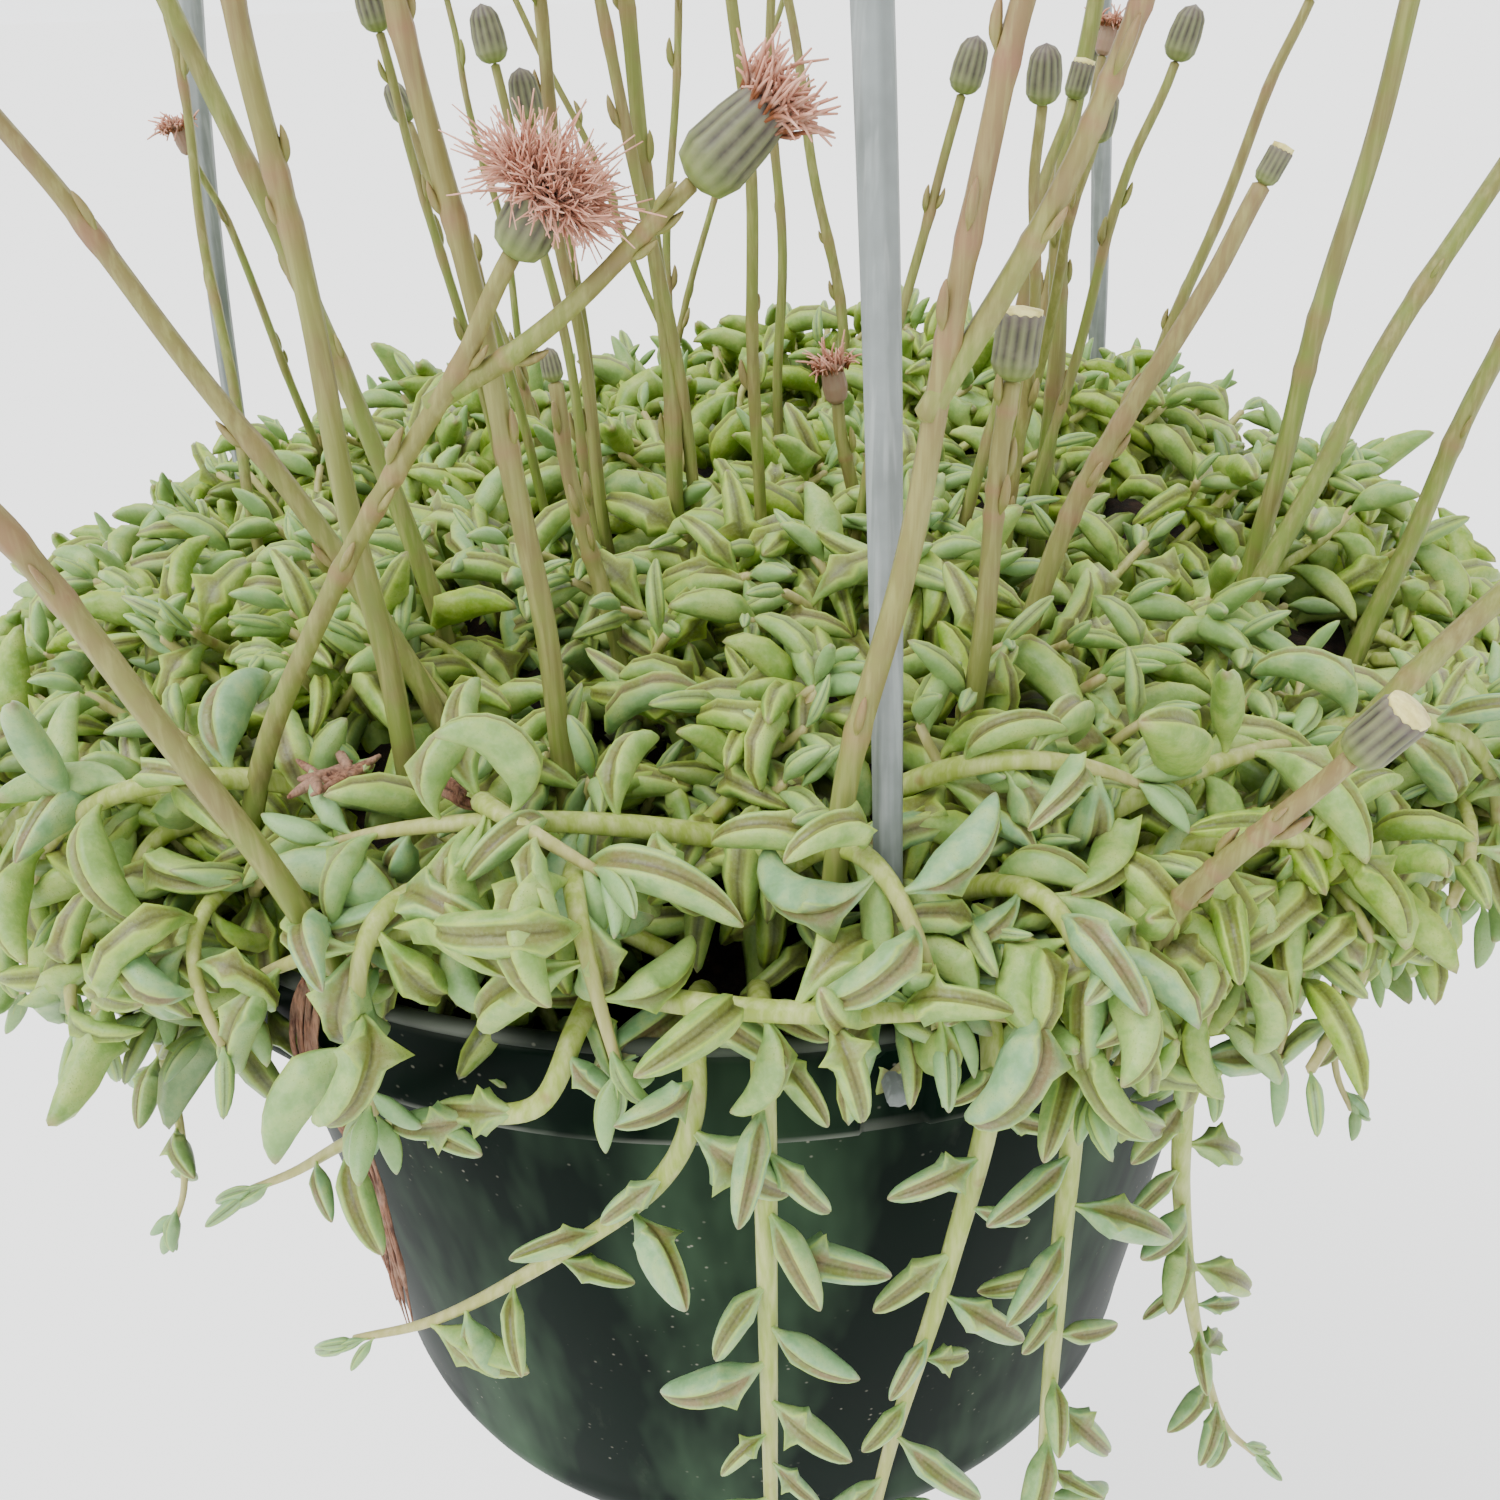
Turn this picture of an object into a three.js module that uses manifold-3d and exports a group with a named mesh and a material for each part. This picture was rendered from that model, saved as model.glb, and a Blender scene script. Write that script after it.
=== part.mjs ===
// Hanging basket planted with a string of dolphins.
//
// Millimetres, +Z up, front towards -Y. The origin is the point inside the hook on which the
// basket hangs, on the axis of the pot. All shapes are worked out in the pot's own frame, whose
// origin is the centre of the rim, and the whole group is then lowered by HOOK_DROP.

import * as THREE from 'three';
import { mergeVertices } from 'three/addons/utils/BufferGeometryUtils.js';
import Module from 'manifold-3d';

const wasm = await Module();
wasm.setup();

// ---------------------------------------------------------------- driving dimensions

// pot
const RIM_RADIUS = 127;
const COLLAR_HEIGHT = 20;
const COLLAR_FOOT_RADIUS = 125;
const BODY_TOP_RADIUS = 111;
const BODY_FOOT_RADIUS = 93;
const BODY_DEPTH = 150;            // rim to the start of the rounded foot
const FOOT_ROUND = 24;
const WALL = 1.8;
const POT_SIDES = 48;
const DRAIN_HOLES = 6;
const DRAIN_HOLE_RADIUS = 4;
const DRAIN_RING_RADIUS = 48;

// soil
const SOIL_DEPTH = 15;             // rim to the soil at the wall
const SOIL_CROWN = 5;              // extra height of the soil in the middle

// hanger
const HOOK_DROP = 418;             // hook to rim
const HUB_HEIGHT = 378;            // rim to the underside of the hub
const HUB_RADIUS = 8;
const HUB_LENGTH = 14;
const ARM_RADIUS = 2.2;
const ARM_COUNT = 3;
const ARM_FIRST_AZIMUTH = 9.5;     // degrees from the front, towards +X
const ARM_FOOT_DEPTH = 12;         // how far an arm's toe sits below the rim
const HOOK_RADIUS = 13;            // middle of the hook's rod
const HOOK_ROD_RADIUS = 2.6;
const HOOK_START = -60;            // angle at which the arc leaves the shank
const HOOK_SWEEP = 255;            // degrees of arc from there round to the tip

// plant
const CROWN_HEIGHT = 42;
const CROWN_SIDE_OVERHANG = 41;    // how far the crown spreads past the rim
const CROWN_FRONT_OVERHANG = 7;
const CROWN_BACK_OVERHANG = 25;
const CROWN_BACK_RISE = 12;        // how much fuller the crown stands at its back right
const CROWN_HANG = 26;             // how far the crown droops below the rim at the sides
const STRAND_RADIUS = 1.5;
const LEAF_LENGTH = 18;
const LEAF_RADIUS = 2.6;
const LEAF_PITCH = 19;
const STALK_RADIUS = 1.5;
const HEAD_RADIUS = 4.6;
const HEAD_LENGTH = 14;

// litter
const BARK_THICKNESS = 2.8;
const STICK_RADIUS = 1;
const CHUNK_SEAT = 30.4;           // height above the rim of the loose bark

const GAP = 0.3;                   // clearance between touching pieces

// A trailing strand leaves over the rim at azimuth `from`, ends at azimuth `to` (degrees from the
// front, towards +X) and `drop` below the rim. `late` delays the sideways drift.
const STRANDS = [
  { from: -10, to: -35, drop: 38, late: 1.0 },
  { from: -3, to: -28, drop: 62, late: 2.2 },
  { from: 1, to: 0, drop: 150, late: 1.0 },
  { from: 14.5, to: 5, drop: 128, late: 1.4 },
  { from: 19, to: 23, drop: 158, late: 1.0 },
  { from: 27, to: 45, drop: 134, late: 1.6 },
  { from: 78, to: 70, drop: 92, late: 1.2 },
  { from: 122, to: 128, drop: 146, late: 1.0 },
  { from: 164, to: 155, drop: 112, late: 1.0 },
  { from: -160, to: -152, drop: 138, late: 1.0 },
  { from: -122, to: -131, drop: 78, late: 1.3 },
  { from: -72, to: -66, drop: 104, late: 1.2 },
];

// A flower stalk grows from x, y in the crown and leans by dx, dy by its full height above the
// rim. `fork` is the height share at which a second branch leaves, `side` its sideways reach and
// `rise` how much higher than the stalk it ends. `head` is the kind of head: bud, fluff, spent or
// cut.
const STALKS = [
  { x: -46, y: -98, dx: -10, dy: 10, height: 176, head: 'bud' },
  { x: -74, y: -98, dx: 51, dy: -6, height: 97, fork: 0.8, side: 21, rise: 7, head: 'fluff' },
  { x: -54, y: -120, dx: -42, dy: -14, height: 118, head: 'bud' },
  { x: -24, y: -95, dx: -12, dy: -2, height: 158, head: 'fluff' },
  { x: 11, y: -120, dx: 22, dy: -2, height: 130, fork: 0.6, side: 13, rise: -1, head: 'bud' },
  { x: 31, y: -98, dx: 6, dy: 4, height: 78, head: 'cut' },
  { x: 38, y: -72, dx: 34, dy: -4, height: 98, head: 'cut' },
  { x: 54, y: -122, dx: 16, dy: -12, height: 44, head: 'cut' },
  { x: 88, y: -44, dx: 20, dy: -6, height: 168, head: 'bud' },
  { x: 80, y: -57, dx: 70, dy: 22, height: 140, head: 'fluff' },
  { x: 108, y: -48, dx: 38, dy: 4, height: 118, fork: 0.6, side: 12, rise: -1, head: 'bud' },
  { x: -18, y: -64, dx: -7, dy: 4, height: 72, head: 'bud' },
  { x: 57, y: -22, dx: 8, dy: 4, height: 184, fork: 0.66, side: 14, rise: -2, head: 'fluff' },
  { x: -44, y: -58, dx: -38, dy: 2, height: 158, head: 'spent' },
  { x: -40, y: -80, dx: -54, dy: 4, height: 118, head: 'bud' },
  { x: 74, y: -100, dx: 64, dy: -14, height: 96, head: 'bud' },
  { x: -8, y: -28, dx: -8, dy: 6, height: 166, head: 'bud' },
  { x: 26, y: -20, dx: -6, dy: -4, height: 58, head: 'spent' },
];

// ---------------------------------------------------------------- small helpers

const radians = (degrees) => degrees * Math.PI / 180;
const mix = (a, b, t) => a + (b - a) * t;
const around = (azimuth, radius, z) =>
  new THREE.Vector3(radius * Math.sin(radians(azimuth)), -radius * Math.cos(radians(azimuth)), z);

function toManifold(geometry) {
  const bare = geometry.clone();
  bare.deleteAttribute('normal');
  bare.deleteAttribute('uv');
  const merged = mergeVertices(bare, 1e-4);
  return new wasm.Manifold(new wasm.Mesh({
    numProp: 3,
    vertProperties: new Float32Array(merged.attributes.position.array),
    triVerts: new Uint32Array(merged.index.array),
  }));
}

function toGeometry(solid) {
  const mesh = solid.getMesh();
  const geometry = new THREE.BufferGeometry();
  geometry.setAttribute('position', new THREE.BufferAttribute(new Float32Array(mesh.vertProperties), 3));
  geometry.setIndex(new THREE.BufferAttribute(new Uint32Array(mesh.triVerts), 1));
  geometry.computeVertexNormals();
  return geometry;
}

function circleShape(radius, sides) {
  const corners = Array.from({ length: sides }, (_, i) => {
    const angle = 2 * Math.PI * i / sides;
    return new THREE.Vector2(radius * Math.cos(angle), radius * Math.sin(angle));
  });
  return new THREE.Shape(corners);
}

// A round bar carried along a smooth curve through the points.
function bar(points, radius, steps, sides = 6) {
  const path = points.length === 2
    ? new THREE.LineCurve3(points[0], points[1])
    : new THREE.CatmullRomCurve3(points, false, 'centripetal');
  return toManifold(new THREE.ExtrudeGeometry(circleShape(radius, sides),
    { steps, extrudePath: path, bevelEnabled: false }));
}

// A turned solid: the profile is a list of [radius, z] that starts and ends on the axis.
function turned(profile, sides) {
  const points = profile.map(([radius, z]) => new THREE.Vector2(radius, z));
  const lathe = new THREE.LatheGeometry(points, sides);
  lathe.rotateX(Math.PI / 2);
  return outward(toManifold(lathe), lathe);
}

// Turns the faces round where a surface was listed inside out.
function outward(solid, geometry) {
  if (solid.volume() > 0) return solid;
  const flipped = geometry.clone();
  const index = flipped.index.array;
  for (let i = 0; i < index.length; i += 3) [index[i], index[i + 1]] = [index[i + 1], index[i]];
  return toManifold(flipped);
}

// ---------------------------------------------------------------- materials

const finish = (color, roughness, metalness = 0) =>
  new THREE.MeshStandardMaterial({ color, roughness, metalness });

const FINISHES = {
  pot: () => finish(0x1d332b, 0.45),
  hanger: () => finish(0x868c8c, 0.5),
  soil: () => finish(0x3a2a20, 0.95),
  leaf: () => finish(0x86a86c, 0.5),
  stem: () => finish(0xa9b878, 0.55),
  stalk: () => finish(0x9a9868, 0.6),
  head: () => finish(0x5f7060, 0.6),
  fluff: () => finish(0xb98a7c, 0.9),
  bark: () => finish(0x6b4636, 0.9),
};

const part = new THREE.Group();

function add(name, solid, finishName) {
  const mesh = new THREE.Mesh(toGeometry(solid), FINISHES[finishName]());
  mesh.name = name;
  part.add(mesh);
}

// ---------------------------------------------------------------- pot and soil

const potDepth = BODY_DEPTH + FOOT_ROUND;

// Outline of the body at an inset from its outside, from the collar's foot to the base.
function bodyOutline(inset) {
  const foot = Array.from({ length: 6 }, (_, i) => {
    const angle = radians(90 * i / 5);
    return [BODY_FOOT_RADIUS - FOOT_ROUND * (1 - Math.cos(angle)) - inset,
      -BODY_DEPTH - (FOOT_ROUND - inset) * Math.sin(angle)];
  });
  return [[BODY_TOP_RADIUS - inset, -COLLAR_HEIGHT - inset], ...foot];
}

function collarWall(inset) {
  return [[RIM_RADIUS - inset, 0], [COLLAR_FOOT_RADIUS - inset, -COLLAR_HEIGHT + inset]];
}

// Outside radius of the collar at a height between the rim and the collar's foot.
const collarRadius = (z) => mix(RIM_RADIUS, COLLAR_FOOT_RADIUS, -z / COLLAR_HEIGHT);

function makePot(hangerClearance) {
  const outer = [...collarWall(0), ...bodyOutline(0)];
  const inner = [[RIM_RADIUS - WALL, 0], [COLLAR_FOOT_RADIUS - WALL, -COLLAR_HEIGHT + WALL],
    [BODY_TOP_RADIUS - WALL, -COLLAR_HEIGHT + WALL], ...bodyOutline(WALL).slice(1)];
  const profile = [[0, -potDepth], ...outer.reverse(), ...inner, [0, -potDepth + WALL]];
  let pot = turned(profile, POT_SIDES);
  for (let i = 0; i < DRAIN_HOLES; i++) {
    const azimuth = 360 * (i + 0.5) / DRAIN_HOLES;
    pot = pot.subtract(bar([around(azimuth, DRAIN_RING_RADIUS, -potDepth - 5),
      around(azimuth, DRAIN_RING_RADIUS, -potDepth + 5)], DRAIN_HOLE_RADIUS, 1, 12));
  }
  return pot.subtract(hangerClearance);
}

function makeSoil() {
  const inset = WALL + GAP;
  const wall = bodyOutline(inset).slice(1);
  const top = -SOIL_DEPTH;
  const profile = [[0, top + SOIL_CROWN], [60, top + SOIL_CROWN * 0.6],
    [COLLAR_FOOT_RADIUS - inset, top], [COLLAR_FOOT_RADIUS - inset, -COLLAR_HEIGHT + inset],
    [BODY_TOP_RADIUS - inset, -COLLAR_HEIGHT + inset], ...wall, [0, -potDepth + inset]];
  return turned(profile, POT_SIDES);
}

// ---------------------------------------------------------------- hanger

// An arm bows from its toe in the collar up to the hub.
function armPath(azimuth) {
  const inside = COLLAR_FOOT_RADIUS - WALL - GAP - ARM_RADIUS - 0.4;
  return [
    around(azimuth, COLLAR_FOOT_RADIUS + 2, -ARM_FOOT_DEPTH),
    around(azimuth, inside + 0.6, -ARM_FOOT_DEPTH + 2.5),
    around(azimuth, inside, 0),
    around(azimuth, inside - 8, HUB_HEIGHT * 0.25),
    around(azimuth, inside - 27, HUB_HEIGHT * 0.5),
    around(azimuth, inside - 62, HUB_HEIGHT * 0.78),
    around(azimuth, HUB_RADIUS + GAP + ARM_RADIUS * 0.92, HUB_HEIGHT + HUB_LENGTH * 0.4),
  ];
}

const armAzimuths = Array.from({ length: ARM_COUNT }, (_, i) => ARM_FIRST_AZIMUTH + 360 * i / ARM_COUNT);
const arm = (azimuth, extra = 0) => bar(armPath(azimuth), ARM_RADIUS + extra, 20, 8);

function makeHook() {
  const hubTop = HUB_HEIGHT + HUB_LENGTH;
  const hub = turned([[0, HUB_HEIGHT], [HUB_RADIUS * 0.7, HUB_HEIGHT], [HUB_RADIUS, HUB_HEIGHT + 3],
    [HUB_RADIUS, hubTop - 3], [HUB_RADIUS * 0.5, hubTop], [0, hubTop]], 16);
  // The underside of the rod at the top of the arc is the point on which the basket hangs.
  const centre = HOOK_DROP - (HOOK_RADIUS - HOOK_ROD_RADIUS);
  const shank = [new THREE.Vector3(0, 0, hubTop - 4), new THREE.Vector3(0, 0, hubTop + 1)];
  const arc = Array.from({ length: 10 }, (_, i) => {
    const angle = radians(HOOK_START + HOOK_SWEEP * i / 9);
    return new THREE.Vector3(-HOOK_RADIUS * Math.cos(angle), 0, centre + HOOK_RADIUS * Math.sin(angle));
  });
  return hub.add(bar([...shank, ...arc], HOOK_ROD_RADIUS, 24, 8));
}

// ---------------------------------------------------------------- plant

// How far the crown reaches from the axis at an azimuth.
function crownReach(azimuth) {
  const side = Math.abs(Math.sin(radians(azimuth)));
  const end = Math.cos(radians(azimuth)) > 0 ? CROWN_FRONT_OVERHANG : CROWN_BACK_OVERHANG;
  return RIM_RADIUS + mix(end, CROWN_SIDE_OVERHANG, Math.pow(side, 1.5))
    + 3 * Math.sin(radians(azimuth * 7));
}

// The crown's section at an azimuth as [radius, z], from the middle of the top, over the edge,
// down to its hanging hem, back up over the rim and in along the soil.
function crownSection(azimuth) {
  const reach = crownReach(azimuth);
  const droop = (reach - RIM_RADIUS - 6) / (CROWN_SIDE_OVERHANG - 6);
  const hem = -CROWN_HANG * Math.max(0, droop);
  const lump = 3 * Math.sin(radians(azimuth * 5)) + 2 * Math.cos(radians(azimuth * 3));
  const rise = CROWN_BACK_RISE * Math.max(0, Math.cos(radians(azimuth - 160))) ** 2;
  const rimOver = RIM_RADIUS + 2;
  const floor = -SOIL_DEPTH + GAP + 1.2;
  return [
    [0.3 * reach, CROWN_HEIGHT + 2 + rise * 0.3],
    [0.55 * reach, CROWN_HEIGHT + lump + rise],
    [0.78 * reach, CROWN_HEIGHT - 7 + lump + rise],
    [0.92 * reach, CROWN_HEIGHT - 20 + rise * 0.6],
    [reach, 5 + hem * 0.4],
    [mix(rimOver, reach, 0.75), hem - 3],
    [mix(rimOver, reach, 0.3), hem * 0.7],
    [rimOver, 0.5],
    [RIM_RADIUS - WALL - 4, 0.5],
    [collarRadius(floor) - WALL - 5, floor],
    [60, -SOIL_DEPTH + SOIL_CROWN * 0.6 + GAP + 0.6],
  ];
}

function makeCrown() {
  const turns = 48;
  const rows = crownSection(0).length;
  const positions = [0, 0, CROWN_HEIGHT + 2];
  for (let i = 0; i < turns; i++) {
    for (const [radius, z] of crownSection(360 * i / turns)) {
      positions.push(...around(360 * i / turns, radius, z).toArray());
    }
  }
  positions.push(0, 0, -SOIL_DEPTH + SOIL_CROWN + GAP + 0.4);
  const last = 1 + turns * rows;
  const at = (turn, row) => 1 + (turn % turns) * rows + row;
  const index = [];
  for (let i = 0; i < turns; i++) {
    index.push(0, at(i, 0), at(i + 1, 0));
    for (let j = 0; j < rows - 1; j++) {
      index.push(at(i, j), at(i, j + 1), at(i + 1, j), at(i + 1, j), at(i, j + 1), at(i + 1, j + 1));
    }
    index.push(last, at(i + 1, rows - 1), at(i, rows - 1));
  }
  const geometry = new THREE.BufferGeometry();
  geometry.setAttribute('position', new THREE.BufferAttribute(new Float32Array(positions), 3));
  geometry.setIndex(index);
  return outward(toManifold(geometry), geometry);
}

// A strand rises from the soil, bends over the rim and hangs outside the pot.
function strandPath({ from, to, drop, late }) {
  const turn = (share) => mix(from, to, Math.pow(share, late));
  const lift = STRAND_RADIUS + GAP + 0.7;
  return [
    around(from, RIM_RADIUS - 22, -SOIL_DEPTH + 6),
    around(from, RIM_RADIUS - 9, lift - 1),
    around(from, RIM_RADIUS + 1, lift + 0.6),
    around(turn(0.08), RIM_RADIUS + 6, -6),
    around(turn(0.35), RIM_RADIUS + 4.5, -0.32 * drop),
    around(turn(0.7), RIM_RADIUS + 2, -0.68 * drop),
    around(turn(0.9), RIM_RADIUS + 5, -0.92 * drop),
    around(to, RIM_RADIUS + 9, -drop),
  ];
}

// A spindle leaf from `root` towards `tip`.
function leaf(root, tip) {
  const length = root.distanceTo(tip);
  const spindle = new THREE.LatheGeometry([[0, 0], [0.75, 0.25], [1, 0.55], [0, 1]]
    .map(([r, s]) => new THREE.Vector2(r * LEAF_RADIUS, s * length)), 5);
  const direction = tip.clone().sub(root).normalize();
  spindle.applyQuaternion(new THREE.Quaternion().setFromUnitVectors(new THREE.Vector3(0, 1, 0), direction));
  spindle.translate(root.x, root.y, root.z);
  return outward(toManifold(spindle), spindle);
}

function makeStrand(strand, extra = 0) {
  const points = strandPath(strand);
  const curve = new THREE.CatmullRomCurve3(points, false, 'centripetal');
  let solid = bar(points, STRAND_RADIUS + extra, 16, 5);
  const leaves = Math.floor(curve.getLength() / LEAF_PITCH);
  for (let i = 3; i < leaves; i++) {
    const share = i / leaves;
    const root = curve.getPointAt(share);
    if (root.z > -4) continue;
    const outwards = new THREE.Vector3(root.x, root.y, 0).normalize();
    const sideways = new THREE.Vector3(-outwards.y, outwards.x, 0).multiplyScalar(i % 2 ? 1 : -1);
    const tip = root.clone().addScaledVector(sideways, 0.68 * LEAF_LENGTH)
      .addScaledVector(outwards, 0.3 * LEAF_LENGTH);
    tip.z += (i % 3 - 1.2) * 0.4 * LEAF_LENGTH;
    solid = solid.add(leaf(root, tip));
  }
  return solid;
}

const crownTop = CROWN_HEIGHT - 22;

function stalkPath({ x, y, dx, dy, height }) {
  const at = (share) => new THREE.Vector3(x + dx * Math.pow(share, 1.25), y + dy * share,
    mix(crownTop - 10, height, share));
  return [at(0), at(0.3), at(0.65), at(1)];
}

function branchPath(stalk) {
  const fork = new THREE.CatmullRomCurve3(stalkPath(stalk), false, 'centripetal').getPoint(stalk.fork);
  const tip = new THREE.Vector3(stalk.x + stalk.dx + stalk.side, stalk.y + stalk.dy,
    stalk.height + stalk.rise);
  const bend = fork.clone().lerp(tip, 0.5);
  bend.x += 0.12 * stalk.side;
  return [fork, bend, tip];
}

function makeStalk(stalk, extra = 0) {
  const stem = bar(stalkPath(stalk), STALK_RADIUS + extra, 6, 5);
  return stalk.fork ? stem.add(bar(branchPath(stalk), STALK_RADIUS * 0.9 + extra, 4, 5)) : stem;
}

const HEAD_PROFILES = {
  bud: [[0.45, 0], [0.9, 0.12], [1, 0.4], [0.8, 0.85], [0.4, 1]],
  fluff: [[0.45, 0], [0.85, 0.1], [0.85, 0.55], [1.5, 0.75], [1.3, 1.1], [0.5, 1.3]],
  spent: [[0.45, 0], [0.7, 0.15], [0.65, 0.6], [1.1, 0.95], [0.5, 1.05]],
  cut: [[0.45, 0], [0.85, 0.15], [0.9, 0.8], [0.9, 0.82]],
};

// A head is turned about its stalk's last stretch and seats a gap above the stalk's end.
function makeHead(kind, path) {
  const end = path[path.length - 1];
  const direction = end.clone().sub(path[path.length - 2]).normalize();
  const outline = HEAD_PROFILES[kind].map(([r, s]) => [r * HEAD_RADIUS, GAP + s * HEAD_LENGTH]);
  const points = [[0, outline[0][1]], ...outline, [0, outline[outline.length - 1][1]]]
    .map(([r, s]) => new THREE.Vector2(r, s));
  const lathe = new THREE.LatheGeometry(points, 8);
  lathe.applyQuaternion(new THREE.Quaternion().setFromUnitVectors(new THREE.Vector3(0, 1, 0), direction));
  lathe.translate(end.x, end.y, end.z);
  return outward(toManifold(lathe), lathe);
}

// ---------------------------------------------------------------- bark and stick

// A torn strip of bark lies over the rim and hangs down the pot.
function barkPath() {
  const azimuth = -28;
  return [
    around(azimuth, RIM_RADIUS - 12, 3.4),
    around(azimuth, RIM_RADIUS + 0.5, 3.4),
    around(azimuth - 0.5, RIM_RADIUS + 4, -6),
    around(azimuth - 2, RIM_RADIUS - 4, -38),
    around(azimuth - 4, RIM_RADIUS - 9, -84),
  ];
}

const barkStrip = (extra = 0) => bar(barkPath(), BARK_THICKNESS / 2 + extra, 10, 5);

// Loose pieces of bark lie on the foliage near the rim: [azimuth, distance inside the rim, size].
const CHUNKS = [[-28, 10, 12], [-19, 12, 10]];

function makeChunk([azimuth, inside, size], extra = 0) {
  const chunk = new THREE.IcosahedronGeometry(size / 2 + extra, 0);
  chunk.scale(1, 0.62, 0.42);
  chunk.rotateZ(radians(azimuth * 3));
  const seat = around(azimuth, RIM_RADIUS - inside, CHUNK_SEAT);
  chunk.translate(seat.x, seat.y, seat.z);
  return outward(toManifold(chunk), chunk);
}

const dryStick = (extra = 0) => bar([around(-58, RIM_RADIUS + 46, -14), around(-55, RIM_RADIUS + 27, -4),
  around(-51, RIM_RADIUS + 9, 8)], STICK_RADIUS + extra, 5, 5);

// ---------------------------------------------------------------- assembly

let hangerClearance = null;
for (const azimuth of armAzimuths) {
  const fat = arm(azimuth, GAP);
  hangerClearance = hangerClearance ? hangerClearance.add(fat) : fat;
}

add('pot', makePot(hangerClearance), 'pot');
add('soil', makeSoil().subtract(hangerClearance), 'soil');
armAzimuths.forEach((azimuth, i) => add(`hanger_arm_${i + 1}`, arm(azimuth), 'hanger'));
add('hanger_hook', makeHook(), 'hanger');

let crown = makeCrown().subtract(hangerClearance).subtract(barkStrip(GAP));
STRANDS.forEach((strand, i) => {
  crown = crown.subtract(makeStrand(strand, GAP));
  add(`strand_${String(i + 1).padStart(2, '0')}`, makeStrand(strand), 'stem');
});
STALKS.forEach((stalk, i) => {
  const number = String(i + 1).padStart(2, '0');
  crown = crown.subtract(makeStalk(stalk, GAP));
  add(`flower_stalk_${number}`, makeStalk(stalk), 'stalk');
  add(`flower_head_${number}`, makeHead(stalk.head, stalkPath(stalk)), ['bud', 'cut'].includes(stalk.head) ? 'head' : 'fluff');
});
CHUNKS.forEach((chunk, i) => {
  crown = crown.subtract(makeChunk(chunk, GAP));
  add(`bark_chunk_${i + 1}`, makeChunk(chunk), 'bark');
});
add('crown', crown.subtract(dryStick(GAP)), 'leaf');
add('bark_strip', barkStrip(), 'bark');
add('dry_stick', dryStick(), 'bark');

part.position.z = -HOOK_DROP;

export default part;
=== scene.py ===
"""A string of dolphins in a hanging basket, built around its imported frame.

Every length is in metres. Heights are counted from the pot's rim until RIM_Z lowers them into the
frame, whose origin is the point that the hook hangs on. The front is towards -Y.
"""

import math

import bpy
import numpy as np
from mathutils import Matrix, Vector


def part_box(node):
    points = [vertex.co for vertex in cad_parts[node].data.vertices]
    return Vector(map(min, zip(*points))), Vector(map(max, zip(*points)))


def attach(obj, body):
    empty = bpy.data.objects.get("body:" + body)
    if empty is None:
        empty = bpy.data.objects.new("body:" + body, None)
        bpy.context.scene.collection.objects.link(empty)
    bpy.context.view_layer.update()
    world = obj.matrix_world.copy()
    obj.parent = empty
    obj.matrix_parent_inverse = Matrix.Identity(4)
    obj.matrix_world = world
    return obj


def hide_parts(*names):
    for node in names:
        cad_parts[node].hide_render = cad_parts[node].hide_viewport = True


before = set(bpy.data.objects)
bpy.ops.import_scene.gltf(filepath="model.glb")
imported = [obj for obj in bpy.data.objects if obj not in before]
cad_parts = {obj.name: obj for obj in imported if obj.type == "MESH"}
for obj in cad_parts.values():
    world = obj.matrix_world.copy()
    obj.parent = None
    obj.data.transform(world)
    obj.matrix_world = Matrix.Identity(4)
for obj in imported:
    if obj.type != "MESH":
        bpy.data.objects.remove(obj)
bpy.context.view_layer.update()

bl_info = {
    "name": "Hanging basket of dolphins",
    "version": (1, 0, 0),
    "blender": (4, 5, 0),
    "location": "View3D > Sidebar > Basket",
    "description": "Builds a hanging basket with a trailing succulent, its flower stalks and litter",
    "category": "Object",
}

MM = 0.001
POT_LOW, POT_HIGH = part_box("pot")
RIM_Z = POT_HIGH[2]
RIM_RADIUS = (POT_HIGH[0] - POT_LOW[0]) / 2
POT_DEPTH = POT_HIGH[2] - POT_LOW[2]
HUB_LOW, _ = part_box("hanger_hook")
HUB_HEIGHT = 14 * MM

# Degrees from one leaf or thin stalk to the next, so that none lines up with another.
GOLDEN_TURN = 137.5

# Random streams. The plant's seed is added to those of the edge shoots and the strands.
EDGE_SEED = 60
STRAND_SEED = 100
STALK_SEED = 500
THIN_STALK_SEED = 77
LITTER_SEED = 41

# The torn bark's azimuth in degrees, and how far round from it no spilling shoot hides it.
BARK_AZIMUTH = -28
BARK_CLEARING = 5

# The floor's width, which is also as far as the camera sees.
FLOOR_SIZE = 8000

# Trailing strands: azimuths in degrees from the front towards +X, drop below the rim in mm, and how
# late the sideways drift comes.
STRANDS = [
    dict(start=-10, end=-35, drop=38, late=1.0),
    dict(start=-3, end=-28, drop=62, late=2.2),
    dict(start=1, end=0, drop=150, late=1.0),
    dict(start=14.5, end=5, drop=128, late=1.4),
    dict(start=19, end=23, drop=158, late=1.0),
    dict(start=27, end=45, drop=134, late=1.6),
    dict(start=78, end=70, drop=92, late=1.2),
    dict(start=122, end=128, drop=146, late=1.0),
    dict(start=164, end=155, drop=112, late=1.0),
    dict(start=-160, end=-152, drop=138, late=1.0),
    dict(start=-122, end=-131, drop=78, late=1.3),
    dict(start=-72, end=-66, drop=104, late=1.2),
]

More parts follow.
